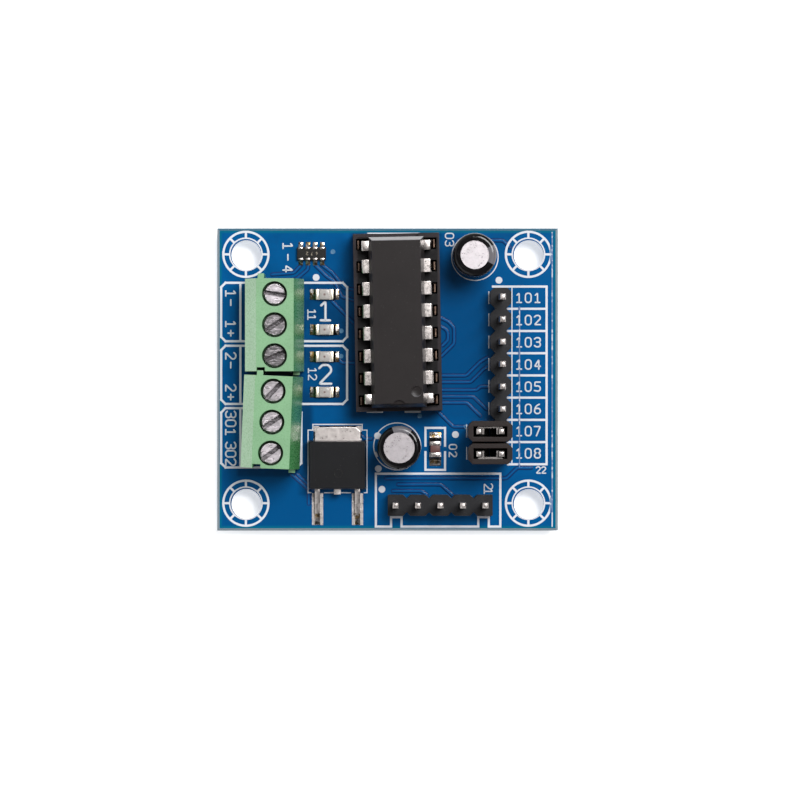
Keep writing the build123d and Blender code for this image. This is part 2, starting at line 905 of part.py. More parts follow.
def build_leds():
    """Four diodes along X: substrate, metal ends and clear lens."""
    half = led_length / 2
    half_width = led_width / 2
    base_top = pad_top + led_base_height
    bases = []
    lenses = []
    ends = []
    for y in led_rows:
        place = turned_place((left_edge + led_inset, y), 0)
        base = block(led_end - half, half - led_end, -half_width, half_width, pad_top, base_top)
        bases.append(place * base)
        lens_face = Rectangle(led_lens_length, led_width)
        lens = extrude(lens_face, amount=led_lens_height, taper=led_lens_taper)
        lenses.append(place * Pos(0, 0, base_top) * lens)
        ends.append(place * block(-half, led_end - half, -half_width, half_width, pad_top, base_top))
        ends.append(place * block(half - led_end, half, -half_width, half_width, pad_top, base_top))
        add_end_joints(place, half, half_width, led_pad_reach, led_base_height)
    save("led_bases", *bases)
    save("led_lenses", *lenses)
    save("led_ends", *ends)


def build_resistor_array():
    """Flat ceramic array with a row of metal ends on each long side."""
    place = turned_place(array_centre, 0)
    half_length = array_length / 2
    half_width = array_width / 2
    top = pad_top + array_height
    body = block(-half_length, half_length, -half_width, half_width, pad_top, top)
    half_end = array_terminal_width / 2
    ends = []
    for k in range(array_positions):
        x = array_pitch * (k - (array_positions - 1) / 2)
        for side in (1, -1):
            turn = Pos(x, 0, 0) * Rot(0, 0, 90 * side)
            near = half_width - array_terminal_depth
            ends.append(turn * block(near, half_width, -half_end, half_end, pad_top, top))
            reach = half_width + array_pad_reach
            add_pad(place * turn, near, reach, -half_end, half_end)
            fillets.append(place * turn * solder_wedge(half_width, reach, half_end, array_solder_height))
    save("resistor_array_body", place * (body - ends))
    save("resistor_array_ends", *[place * end for end in ends])


def build_ceramic():
    """Ceramic chip capacitor along Y."""
    place = turned_place(ceramic_centre, 90)
    half = ceramic_length / 2
    half_width = ceramic_width / 2
    top = pad_top + ceramic_height
    body = block(ceramic_end - half, half - ceramic_end, -half_width, half_width, pad_top, top)
    ends = [
        block(-half, ceramic_end - half, -half_width, half_width, pad_top, top),
        block(half - ceramic_end, half, -half_width, half_width, pad_top, top),
    ]
    add_end_joints(place, half, ceramic_pad_width / 2, ceramic_pad_reach, ceramic_solder_height)
    save("ceramic_capacitor_body", place * body)
    save("ceramic_capacitor_ends", *[place * end for end in ends])


def mounting_holes():
    """Centres of the four corner holes."""
    return [(x * hole_span_x / 2, y * hole_span_y / 2) for x in (-1, 1) for y in (-1, 1)]


def build_board():
    """Laminate with bevelled edges, mounting holes and a hole for every lead."""
    x = board_length / 2
    y = board_width / 2
    board = block(-x, x, -y, y, 0, board_thickness)
    for side in (0, -1):
        face = board.faces().filter_by(Axis.Z).sort_by(Axis.Z)[side]
        board = chamfer(face.edges(), edge_bevel_width, edge_bevel_depth, reference=face)
    holes = [post(x, y, 0, board_thickness, mounting_hole_radius) for x, y in mounting_holes()]
    holes += [post(x, y, 0, board_thickness, radius) for x, y, radius, _ in through_leads]
    save("circuit_board", board - holes)


def build_solder():
    """One joint for each lead: a plug in its hole and a hollowed cone under the board."""
    joints = []
    for x, y, radius, lead in through_leads:
        tip = radius + joint_wall
        base = tip + joint_spread
        plug = Polyline(
            (tip, -joint_height),
            (0, -joint_height),
            (0, board_thickness),
            (radius, board_thickness),
            (radius, 0),
            (base, 0),
        )
        slope = ThreePointArc((base, 0), (tip + joint_waist, -joint_waist_height), (tip, -joint_height))
        section = make_face(plug + slope)
        joint = revolve(Plane.XZ * section, Axis.Z)
        joints.append(Pos(x, y, 0) * joint - lead)
    save("solder_joints", *joints)


def stroke(points, width=ink_line_width):
    """Faces of ink along a line through the points, with square ends."""
    faces = []
    for (x0, y0), (x1, y1) in zip(points, points[1:]):
        run = Vector(x1 - x0, y1 - y0, 0)
        angle = Vector(1, 0, 0).get_signed_angle(run, Vector(0, 0, 1))
        middle = Pos((x0 + x1) / 2, (y0 + y1) / 2, 0) * Rot(0, 0, angle)
        faces.append(middle * Rectangle(run.length + width, width))
    return faces


def ring(centre, radius, width=ink_line_width):
    """Face of ink round a circle."""
    return Pos(*centre) * (Circle(radius + width / 2) - Circle(radius - width / 2))


def clipped_box(left, right, bottom, top, corner):
    """Closed line round a box with its corners cut off."""
    points = [
        (left + corner, bottom),
        (right - corner, bottom),
        (right, bottom + corner),
        (right, top - corner),
        (right - corner, top),
        (left + corner, top),
        (left, top - corner),
        (left, bottom + corner),
    ]
    return points + points[:1]


def wheel_ink(centre):
    """Two rings joined by spokes round a mounting hole."""
    faces = [ring(centre, wheel_outer_radius), ring(centre, wheel_inner_radius, wheel_inner_width)]
    for k in range(wheel_spokes):
        angle = radians(360 / wheel_spokes * k)
        points = []
        for radius in (wheel_inner_radius + ink_line_width / 2, wheel_outer_radius - ink_line_width / 2):
            points.append((centre[0] + radius * cos(angle), centre[1] + radius * sin(angle)))
        faces += stroke(points)
    return faces


def header_ink():
    """Rows beside the input header, and the thin outline of the header pair."""
    rows = input_header_pins
    first = input_header_top_y + pin_pitch / 2
    last = first - rows * pin_pitch
    row_right = right_edge - row_line_inset
    faces = stroke([(row_right - row_corner_length, first), (row_right, first), (row_right, last)])
    for k in range(1, rows + 1):
        y = first - k * pin_pitch
        faces += stroke([(row_right - row_line_length, y), (row_right, y)])
    margin = strip_width / 2 + header_outline_gap
    right = input_header_x + margin
    faces += stroke([(right, first), (right, last)], ink_thin_width)
    dash = pin_pitch / 2 - strip_corner
    for k in range(rows):
        y = input_header_top_y - k * pin_pitch
        side = pin_pitch if k >= rows - enable_header_pins else 0
        left = input_header_x - side - margin
        faces += stroke([(left, y - dash), (left, y + dash)], ink_thin_width)
    return faces


def output_ink():
    """Box round the output header, with two notches in its lower line."""
    half = output_notch_width / 2
    low = front_edge + output_box_inset
    high = low + output_box_width
    notch = low + output_notch_depth
    points = [(output_box_left, high), (output_box_left, low)]
    for x in (output_notch_left, output_notch_right):
        points += [(x - half, low), (x - half, notch), (x + half, notch), (x + half, low)]
    points += [(output_box_right, low), (output_box_right, high)]
    return stroke(points + points[:1])


def ceramic_ink():
    """Two brackets that close round the ceramic capacitor."""
    x, y = ceramic_centre
    half_width = ceramic_box_width / 2
    half_length = ceramic_box_length / 2
    faces = []
    for side in (1, -1):
        near = y + side * ceramic_box_gap / 2
        far = y + side * half_length
        left = x - half_width
        right = x + half_width
        faces += stroke([(left, near), (left, far), (right, far), (right, near)])
    return faces


def regulator_ink():
    """Stepped outline round the regulator."""
    x, y = regulator_centre
    half = regulator_outline_half
    low = y - regulator_outline_low
    step = y + regulator_outline_middle
    top = y + regulator_outline_top
    narrow = half - regulator_outline_step
    lead_x = regulator_lead_span / 2
    outer_gap = lead_x + regulator_pad_width / 2 + ink_thin_width / 2 + regulator_outline_gap
    inner_gap = lead_x - regulator_pad_width / 2 - ink_thin_width / 2 - regulator_outline_gap
    points = [
        (x - outer_gap, low),
        (x - half, low),
        (x - half, step),
        (x - narrow, step),
        (x - narrow, top),
        (x + narrow, top),
        (x + narrow, step),
        (x + half, step),
        (x + half, low),
        (x + outer_gap, low),
    ]
    below = [(x - inner_gap, low), (x + inner_gap, low)]
    return stroke(points, ink_thin_width) + stroke(below, ink_thin_width)


def chip_ink():
    """Lines past both ends of the socket, the lower one broken by its notch."""
    left = chip_line_x - chip_line_half
    right = chip_line_x + chip_line_half
    gap = chip_line_gap / 2
    faces = stroke([(left, chip_line_top), (right, chip_line_top)], ink_thin_width)
    faces += stroke([(left, chip_line_bottom), (chip_line_x - gap, chip_line_bottom)])
    faces += stroke([(chip_line_x + gap, chip_line_bottom), (right, chip_line_bottom)])
    return faces


def build_ink():
    """All the white outlines on the component side, as one thin layer."""
    faces = []
    for x, y in mounting_holes():
        faces += wheel_ink((x + wheel_shift[0], y + wheel_shift[1]))
    boxes = (
        (terminal_box_length, upper_box_bottom, upper_box_top),
        (terminal_box_length, lower_box_bottom, lower_box_top),
        (supply_box_length, supply_box_bottom, supply_box_top),
    )
    box_left = left_edge + terminal_box_inset
    for length, bottom, top in boxes:
        faces += stroke(clipped_box(box_left, box_left + length, bottom, top, box_corner))
        faces += stroke([(box_left + label_width, bottom), (box_left + label_width, top)])
    faces += header_ink() + output_ink() + ceramic_ink() + regulator_ink() + chip_ink()
    faces.append(ring(capacitor_1_circle_centre, capacitor_1_circle_radius, ink_thin_width))
    faces.append(ring(capacitor_2_circle_centre, capacitor_2_circle_radius, ink_thin_width))
    edge_x = right_edge - edge_line_inset
    edge_y = board_width / 2 - edge_line_end
    guide_x = right_edge - guide_line_inset
    faces += stroke([(edge_x, -edge_y), (edge_x, edge_y)], ink_thin_width)
    faces += stroke([(guide_x, guide_line_bottom), (guide_x, guide_line_top)], ink_thin_width)
    faces += [Pos(*centre) * Circle(ink_dot_radius) for centre in dot_centres]
    layer = Sketch() + faces
    holes = [Pos(x, y) * Circle(radius) for x, y, radius, _ in through_leads]
    holes += [Pos(x, y) * Circle(mounting_hole_radius) for x, y in mounting_holes()]
    save("screen_print", plate(layer - holes, board_top, seat))


def main():
    """Build every sub-part and write its file."""
    os.makedirs("parts", exist_ok=True)
    build_terminals()
    build_chip()
    build_headers()
    build_jumpers()
    build_capacitor("capacitor_1", capacitor_1_centre, capacitor_1_stripe, capacitor_1_fold_radius)
    build_capacitor("capacitor_2", capacitor_2_centre, capacitor_2_stripe, capacitor_2_fold_radius)
    build_regulator()
    build_leds()
    build_resistor_array()
    build_ceramic()
    build_board()
    build_solder()
    build_ink()
    save("surface_pads", *pads)
    save("surface_solder", *fillets)


main()
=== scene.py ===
"""Dresses a two-channel motor driver module: finishes, rounded edges, copper, print and studio.

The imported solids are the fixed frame. Lengths here are millimetres and angles are degrees. MM turns
a length into metres, which Blender and the length settings hold.
"""

import json
from math import cos, hypot, radians, sin

import bpy
from bpy.props import FloatProperty, FloatVectorProperty, PointerProperty
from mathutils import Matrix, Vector

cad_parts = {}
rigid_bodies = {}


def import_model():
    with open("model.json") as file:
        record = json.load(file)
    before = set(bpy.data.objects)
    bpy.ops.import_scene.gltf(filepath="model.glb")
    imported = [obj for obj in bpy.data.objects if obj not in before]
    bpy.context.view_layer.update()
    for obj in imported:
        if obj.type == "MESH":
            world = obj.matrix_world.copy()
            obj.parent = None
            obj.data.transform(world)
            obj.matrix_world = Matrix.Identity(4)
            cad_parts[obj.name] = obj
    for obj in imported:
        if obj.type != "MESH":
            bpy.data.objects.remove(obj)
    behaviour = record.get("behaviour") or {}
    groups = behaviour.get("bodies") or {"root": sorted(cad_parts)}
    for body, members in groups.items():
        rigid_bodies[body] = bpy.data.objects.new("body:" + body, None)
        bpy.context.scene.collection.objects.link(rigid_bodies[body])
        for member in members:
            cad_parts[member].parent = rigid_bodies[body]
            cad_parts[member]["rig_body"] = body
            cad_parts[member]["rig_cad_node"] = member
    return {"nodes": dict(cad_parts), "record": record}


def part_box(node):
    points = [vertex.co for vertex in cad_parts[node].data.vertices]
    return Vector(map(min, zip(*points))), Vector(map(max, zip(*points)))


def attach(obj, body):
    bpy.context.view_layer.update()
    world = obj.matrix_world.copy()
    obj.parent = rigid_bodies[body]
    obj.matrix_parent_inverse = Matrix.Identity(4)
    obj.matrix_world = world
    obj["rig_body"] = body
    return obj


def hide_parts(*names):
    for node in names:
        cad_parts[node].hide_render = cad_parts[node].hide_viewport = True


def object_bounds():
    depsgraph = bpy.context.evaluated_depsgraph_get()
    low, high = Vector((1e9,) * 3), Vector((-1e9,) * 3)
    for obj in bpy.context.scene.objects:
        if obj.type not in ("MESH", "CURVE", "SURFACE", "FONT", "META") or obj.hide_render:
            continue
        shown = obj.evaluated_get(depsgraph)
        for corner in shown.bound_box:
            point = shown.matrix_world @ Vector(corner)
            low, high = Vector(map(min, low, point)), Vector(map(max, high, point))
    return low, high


bl_info = {
    "name": "Motor Driver Module",
    "version": (1, 0, 0),
    "blender": (4, 5, 0),
    "location": "3D View > Sidebar > Module",
    "description": "Finishes, print, copper and studio for a packed motor driver module",
    "category": "Object",
}

MM = 0.001
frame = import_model()
cad_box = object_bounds()
NODES = frame["nodes"]
BODY_OF = {node: body for body, group in frame["record"]["behaviour"]["bodies"].items() for node in group}


def corners(node):
    """Lowest and highest corner of a CAD node."""
    low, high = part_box(node)
    return low / MM, high / MM


def middle(node):
    """Middle of a CAD node's box."""
    low, high = corners(node)
    return (low + high) / 2


BOARD_LOW, BOARD_HIGH = corners("circuit_board")
INK_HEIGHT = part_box("screen_print")[1].z / MM - BOARD_HIGH.z
FLOOR_LEVEL = cad_box[0][2] / MM
SCREWS = [f"terminal_screw_{k}" for k in range(1, 7)]


def tone(*display):
    """Linear colour of a display colour given as red, green and blue from 0 to 255."""
    shares = [level / 255 for level in display]
    return tuple(((share + 0.055) / 1.055) ** 2.4 if share > 0.04045 else share / 12.92 for share in shares)


def colour_property(name, description, default):
    """Colour that a user can change."""
    return FloatVectorProperty(
        name=name, description=description, default=default, size=3, subtype="COLOR", min=0, max=1
    )


def length_property(name, description, default):
    """Length in metres that a user can change, given in millimetres."""
    return FloatProperty(
        name=name,
        description=description,
        default=default * MM,
        subtype="DISTANCE",
        unit="LENGTH",
        precision=5,
    )


def power_property(name, description, default):
    """Power in watts that a user can change."""
    return FloatProperty(name=name, description=description, default=default, min=0)


def share_property(name, description, default):
    """Share from 0 to 1 that a user can change."""
    return FloatProperty(name=name, description=description, default=default, min=0, max=1)


class BoardSettings(bpy.types.PropertyGroup):
    """Colours and print of the circuit board."""

    pour: colour_property("Mask over copper", "Solder mask where copper lies under it", tone(0, 73, 125))
    # Besides mask over laminate, this colour paints the shade in the shaded zones
    bare: colour_property("Mask over laminate", "Solder mask where no copper lies under it", tone(1, 45, 82))
    rim: colour_property("Mask at the rim", "Thin mask along the board's edges", tone(2, 86, 112))
    laminate: colour_property("Laminate", "Glass-fibre laminate of the edges", tone(98, 113, 123))
    copper_edge: colour_property("Track edge", "Mask in the gap beside a track", tone(18, 50, 98))
    via: colour_property("Via", "Mask over a closed hole", tone(74, 112, 142))
    ink: colour_property("Ink", "Printed outlines and numerals", tone(186, 188, 195))
    track_width: length_property("Track width", "Width of a copper track under the mask", 0.25)
    gap_width: length_property("Gap width", "Bare laminate on each side of a track", 0.12)
    stroke_width: length_property("Stroke width", "Width of the strokes of small numerals", 0.19)


class PlasticSettings(bpy.types.PropertyGroup):
    """Colours of the plastic pieces."""

    terminal: colour_property("Terminal", "Housing of the screw terminals", tone(110, 149, 112))
    # Faces that look toward +X get this darker green: painted shade on the terminals' right side
    terminal_shaded_side: colour_property("Terminal back", "Closed side of the screw terminals", tone(66, 130, 76))
    socket: colour_property("Socket", "Frame of the chip socket", tone(38, 33, 36))
    header: colour_property("Header", "Strips of the pin headers", tone(19, 19, 22))
    jumper: colour_property("Jumper", "Caps of the jumpers", tone(31, 24, 23))
    chip: colour_property("Chip", "Moulded body of the chip", tone(34, 31, 31))
    # The chip's far end gets this lighter colour: a painted highlight on the end that faces the key light
    chip_end_highlight: colour_property("Chip end", "Far end of the chip's body", tone(80, 78, 81))
    regulator: colour_property("Regulator", "Moulded body of the regulator", tone(21, 21, 23))
    rubber: colour_property("Rubber", "Seals of the capacitors", (0.02, 0.02, 0.02))
    sleeve: colour_property("Sleeve", "Shrunk film of the capacitors", tone(8, 7, 9))
    stripe: colour_property("Stripe", "Stripe at the negative lead", tone(96, 94, 98))
    resin: colour_property("Resin", "Lens of the light-emitting diodes", tone(202, 196, 193))
    diode_base: colour_property("Diode base", "Laminate under the diodes' lenses", tone(214, 206, 200))
    array: colour_property("Resistor array", "Body of the resistor array", tone(21, 20, 19))
    ceramic: colour_property("Ceramic", "Body of the ceramic capacitor", tone(94, 66, 64))


class MetalSettings(bpy.types.PropertyGroup):
    """Colours of the metal pieces."""

    tin: colour_property("Tin", "Plated leads, pins and pads", tone(182, 175, 172))
    diode_tin: colour_property("Diode tin", "Ends of the light-emitting diodes", tone(214, 206, 190))
    solder: colour_property("Solder", "Solder joints", tone(154, 150, 150))
    steel: colour_property("Steel", "Screws and cages", tone(160, 154, 158))
    bronze: colour_property("Bronze", "Sprung contacts of the socket", tone(190, 160, 142))
    aluminium: colour_property("Aluminium", "Tops of the capacitors", tone(187, 181, 184))


class StageSettings(bpy.types.PropertyGroup):
    """Camera, table and light."""

    view_x: length_property("View centre X", "Point of the board below the camera", 1.42)
    view_y: length_property("View centre Y", "Point of the board below the camera", -2.35)
    view_width: length_property("View width", "Width of the board's plane that the picture shows", 91.47)
    distance: length_property("Camera distance", "Height of the camera above the board", 700.0)
    sensor: FloatProperty(
        name="Sensor", description="Width of the camera's sensor, in millimetres", default=36.0, min=1
    )
    key_power: power_property("Key light", "Power of the key light in watts", 6.4)
    fill_power: power_property("Fill light", "Power of the fill light in watts", 0.5)
    sky: share_property("Left wall", "Brightness of the walls on the left", 0.85)
    dusk: share_property("Right wall", "Brightness of the walls on the right", 0.2)
    ceiling: share_property("Ceiling", "Brightness straight above the table", 0.12)
    floor: colour_property("Floor", "Table that the module lies on", tone(250, 250, 250))
    glow: share_property("Table glow", "Light that comes through the white table", 0.5)


# Material nodes


def feed(tree, socket, value):
    """Link a socket, or set its value."""
    if isinstance(value, bpy.types.NodeSocket):
        tree.links.new(value, socket)
    else:
        socket.default_value = value


def add_node(tree, kind, inputs=None, **settings):
    """New node with its settings and inputs."""
    item = tree.nodes.new(kind)
    for name, value in settings.items():
        setattr(item, name, value)
    for name, value in (inputs or {}).items():
        feed(tree, item.inputs[name], value)
    return item


def maths(tree, operation, first, second=0.0, third=0.0):
    """Result of one sum."""
    item = add_node(tree, "ShaderNodeMath", {0: first, 1: second, 2: third}, operation=operation)
    return item.outputs[0]


def times(tree, first, second):
    """Product of two values."""
    return maths(tree, "MULTIPLY", first, second)


def above(tree, value, limit):
    """1 where a value is above a limit, and 0 elsewhere."""
    return maths(tree, "GREATER_THAN", value, limit)


def eased(tree, value, low, high):
    """0 at low and beyond it, 1 at high and beyond it, smooth between. Low may be the larger one."""
    inputs = {"Value": value, "From Min": low, "From Max": high}
    return add_node(tree, "ShaderNodeMapRange", inputs, interpolation_type="SMOOTHSTEP").outputs["Result"]


def mixed(tree, factor, first, second):
    """Colour between two colours."""
    item = add_node(tree, "ShaderNodeMix", {"Factor": factor}, data_type="RGBA")
    for socket, value in ((item.inputs[6], first), (item.inputs[7], second)):
        feed(tree, socket, value if isinstance(value, bpy.types.NodeSocket) else (*value, 1.0))
    return item.outputs[2]


def shifted(colour, share):
    """A colour made lighter or darker."""
    return tuple(min(1.0, c * share) for c in colour)


def drifting(tree, pattern, colour, first_share, second_share):
    """A colour times its first share where a pattern is 0, and times its second where it is 1."""
    return mixed(tree, pattern, shifted(colour, first_share), shifted(colour, second_share))


def place(tree, centre=(0, 0, 0), turn=0.0, scale=(1, 1, 1)):
    """Object coordinates in millimetres from a centre, turned, then scaled."""
    coordinates = add_node(tree, "ShaderNodeTexCoord").outputs["Object"]
    to_centre = {"Vector": coordinates, "Location": [-c * MM for c in centre]}
    moved = add_node(tree, "ShaderNodeMapping", to_centre).outputs[0]
    to_pattern = {"Vector": moved, "Rotation": (0, 0, radians(-turn)), "Scale": [s / MM for s in scale]}
    return add_node(tree, "ShaderNodeMapping", to_pattern).outputs[0]


def split(tree, vector):
    """X, Y and Z of a vector."""
    return add_node(tree, "ShaderNodeSeparateXYZ", {"Vector": vector}).outputs


def facing(tree):
    """X, Y and Z of the way that a surface faces."""
    return split(tree, add_node(tree, "ShaderNodeNewGeometry").outputs["Normal"])


def noise(tree, vector, scale, detail=3.0, roughness=0.55):
    """Soft random pattern from 0 to 1, with its scale per millimetre."""
    inputs = {"Vector": vector, "Scale": scale, "Detail": detail, "Roughness": roughness}
    return add_node(tree, "ShaderNodeTexNoise", inputs).outputs["Fac"]


def motes(tree, vector, scale, size):
    """1 within small dots scattered at random, and 0 elsewhere."""
    nearest = add_node(tree, "ShaderNodeTexVoronoi", {"Vector": vector, "Scale": scale}).outputs["Distance"]
    return maths(tree, "LESS_THAN", nearest, size)


def zone(tree, axes, left, right, bottom, top, soft=0.4):
    """1 inside a box on two axes and 0 outside it, with a soft edge."""
    inside = eased(tree, axes[0], left - soft, left + soft)
    for value in (
        eased(tree, axes[0], right + soft, right - soft),
        eased(tree, axes[1], bottom - soft, bottom + soft),
        eased(tree, axes[1], top + soft, top - soft),
    ):
        inside = times(tree, inside, value)
    return inside


def new_finish(name, roughness, metallic=0.0, specular=0.5):
    """New material: itself, its tree and its shader."""
    material = bpy.data.materials.new(name)
    material.use_nodes = True
    tree = material.node_tree
    shader = tree.nodes["Principled BSDF"]
    shader.inputs["Roughness"].default_value = roughness
    shader.inputs["Metallic"].default_value = metallic
    shader.inputs["Specular IOR Level"].default_value = specular
    return material, tree, shader


def coloured(tree, shader, colour):
    """Base colour of a shader."""
    feed(tree, shader.inputs["Base Color"], colour)


def uneven_gloss(tree, shader, pattern, lowest, highest):
    """Roughness that follows a pattern between two values."""
    feed(tree, shader.inputs["Roughness"], maths(tree, "MULTIPLY_ADD", pattern, highest - lowest, lowest))


def relief(tree, shader, height, depth):
    """Bump with its depth in millimetres."""
    inputs = {"Height": height, "Distance": depth * MM, "Strength": 1.0}
    feed(tree, shader.inputs["Normal"], add_node(tree, "ShaderNodeBump", inputs).outputs[0])


DUST_COLOUR = (0.62, 0.6, 0.58)


def moulded(name, colour, roughness, grain, depth, dust=0.06, specular=0.5, turned=None, inside=None):
    """Moulded plastic with fine grain, drifting tone and gloss, and dust.

    Turned is an axis and the colour of the faces that look along it, painted lighter or darker there as
    painted light and shade.
    Inside is a box on the board, as left, right, bottom and top, and the colour painted within it as painted
    shade.
    """
    material, tree, shader = new_finish(name, roughness, specular=specular)
    vector = place(tree)
    fine = noise(tree, vector, grain, detail=4.0, roughness=0.7)
    base = drifting(tree, noise(tree, vector, 0.35, detail=2.0), colour, 0.86, 1.14)
    if turned:
        axis, painted_side_colour = turned
        base = mixed(tree, eased(tree, facing(tree)[axis], 0.1, 0.3), base, painted_side_colour)
    if inside:
        box, painted_shade_colour = inside
        base = mixed(tree, zone(tree, split(tree, vector), *box, soft=0.08), base, painted_shade_colour)
    dusty = times(tree, motes(tree, vector, scale=2.3, size=0.07), dust)
    coloured(tree, shader, mixed(tree, dusty, base, DUST_COLOUR))
    uneven_gloss(tree, shader, fine, roughness - 0.08, roughness + 0.08)
    relief(tree, shader, fine, depth)
    return material


def plated(name, colour, roughness, mottle=0.14, grain=3.0, depth=0.004):
    """Plated or soldered metal: mottled tone, uneven gloss and a slightly wavy skin."""
    material, tree, shader = new_finish(name, roughness, metallic=1.0)
    vector = place(tree)
    cloud = noise(tree, vector, grain, detail=4.0, roughness=0.65)
    coloured(tree, shader, drifting(tree, eased(tree, cloud, 0.32, 0.68), colour, 1 - mottle, 1 + mottle))
    uneven_gloss(tree, shader, cloud, roughness - 0.12, roughness + 0.12)
    relief(tree, shader, noise(tree, vector, grain * 0.6, detail=2.0), depth)
    return material


# Zones of darker mask, partly bare of copper and partly painted shade beside tall parts: left, right, bottom,
# top, and how dark
BARE_AND_SHADED_ZONES = (
    (-9.6, -4.2, -3.0, 11.3, 0.75),
    (-4.2, 6.2, -4.4, 17.0, 0.8),
    (6.2, 11.5, -4.4, 11.0, 0.35),
    (-17.3, -8.6, -11.2, 11.6, 0.85),
    (-10.4, -7.6, -13.4, -10.6, 0.6),
    (-18.9, -3.0, -16.8, -9.5, 0.32),
)


def bareness_and_shade(tree, axes):
    """How little copper lies under the mask, and how much painted shade falls there, from 0 to 1."""
    bare = 0.0
    for *box, share in BARE_AND_SHADED_ZONES:
        bare = maths(tree, "MAXIMUM", times(tree, zone(tree, axes, *box), share), bare)
    return bare


def inset_from_edge(tree, axes):
    """Distance to the board's nearest edge."""
    across = maths(tree, "SUBTRACT", BOARD_HIGH.x, maths(tree, "ABSOLUTE", axes[0]))
    along = maths(tree, "SUBTRACT", BOARD_HIGH.y, maths(tree, "ABSOLUTE", axes[1]))
    return maths(tree, "MINIMUM", across, along)


def solder_mask():
    """Blue mask over copper pour and bare laminate, with painted shade in some zones, bare laminate at the
    cut edges, and painted shade on the bevels that face +Y.
    """
    colours = bpy.context.scene.module_board
    material, tree, shader = new_finish("solder_mask", 0.16, specular=0.2)
    vector = place(tree)
    axes = split(tree, vector)
    # The darker zones are partly mask over bare laminate and partly painted shade beside tall parts
    blue = mixed(tree, bareness_and_shade(tree, axes), colours.pour, colours.bare)
    cloud = eased(tree, noise(tree, vector, 0.3), 0.35, 0.75)
    blue = mixed(tree, cloud, blue, shifted(colours.pour, 0.82))
    rim = eased(tree, inset_from_edge(tree, axes), 0.7, 0.35)
    blue = mixed(tree, rim, blue, colours.rim)

    fibres = noise(tree, place(tree, scale=(0.5, 0.5, 9.0)), 2.2)
    cut = drifting(tree, fibres, colours.laminate, 0.8, 1.15)
    ways = facing(tree)
    # Bevels that face up and toward +Y are painted dark teal instead of pale laminate: painted shade on the
    # far edge
    far_bevel_shade = times(tree, above(tree, ways[1], 0.3), above(tree, ways[2], 0.3))
    edge = mixed(tree, far_bevel_shade, cut, shifted(colours.rim, 0.6))
    flat = above(tree, maths(tree, "ABSOLUTE", ways[2]), 0.97)
    coloured(tree, shader, mixed(tree, flat, edge, blue))

    fine = noise(tree, vector, 2.4)
    uneven_gloss(tree, shader, fine, 0.08, 0.18)
    relief(tree, shader, fine, 0.004)
    return material


# Printed lines that are worn thin: left, right, bottom and top
WORN_LINES = (
    (18.55, 18.98, -15.2, 17.2),
    (14.9, 15.18, -11.2, 9.0),
)


def printed_ink(name, worn_lines=()):
    """White ink with a chalky surface, thinner in places and nearly gone along the worn lines."""
    colours = bpy.context.scene.module_board
    material, tree, shader = new_finish(name, 0.55)
    vector = place(tree)
    thin = eased(tree, noise(tree, vector, 2.6, detail=4.0, roughness=0.7), 0.6, 0.8)
    white = drifting(tree, thin, colours.ink, 1.0, 0.72)
    rubbed = eased(tree, noise(tree, vector, 1.3, roughness=0.7), 0.38, 0.52)
    for line in worn_lines:
        along = times(tree, zone(tree, split(tree, vector), *line, soft=0.03), 0.85)
        white = mixed(tree, times(tree, along, rubbed), white, colours.pour)
    coloured(tree, shader, white)
    relief(tree, shader, noise(tree, vector, 9.0, detail=2.0), 0.004)
    return material


def faded_mark():
    """Thin pale mark on the resistor array."""
    material, tree, shader = new_finish("array_mark", 0.5)
    worn = eased(tree, noise(tree, place(tree), 7.0), 0.4, 0.6)
    coloured(tree, shader, mixed(tree, worn, tone(150, 138, 120), tone(84, 76, 68)))
    return material


def track_mask(name, colour, share=1.0):
    """Solder mask drawn up over copper, or down into the gap beside it."""
    material, tree, shader = new_finish(name, 0.18, specular=0.2)
    vector = place(tree)
    coloured(tree, shader, drifting(tree, noise(tree, vector, 0.5), colour, share * 0.9, share * 1.1))
    relief(tree, shader, noise(tree, vector, 3.0, detail=2.0), 0.003)
    return material


def reflowed_solder():
    """Solder of the surface parts: bright skin with dark and brown flux between."""
    metal = bpy.context.scene.module_metal
    material, tree, shader = new_finish("reflowed_solder", 0.25, metallic=1.0)
    vector = place(tree)
    cloud = noise(tree, vector, 2.4, detail=4.0, roughness=0.75)
    amber = eased(tree, noise(tree, vector, 0.8, detail=2.0), 0.45, 0.6)
    flux = mixed(tree, amber, tone(52, 50, 44), tone(122, 98, 58))
    coloured(tree, shader, mixed(tree, eased(tree, cloud, 0.43, 0.55), metal.solder, flux))
    relief(tree, shader, cloud, 0.03)
    return material


# For each clamp screw: its share of wear, and the angle of the scratches across its head
SCREW_WEAR = (0.25, 0.8, 1.0, 0.45, 0.35, 0.3)
SCRATCH_ANGLES = (20, 42, 35, 60, 40, 30)


def scratches(tree, centre, turn, scale, start, full):
    """Parallel scratches, which show from one level of a drawn-out noise and are full at another."""
    lines = noise(tree, place(tree, centre, turn, scale), 1.0, detail=4.0, roughness=0.7)
    return eased(tree, lines, start, full)


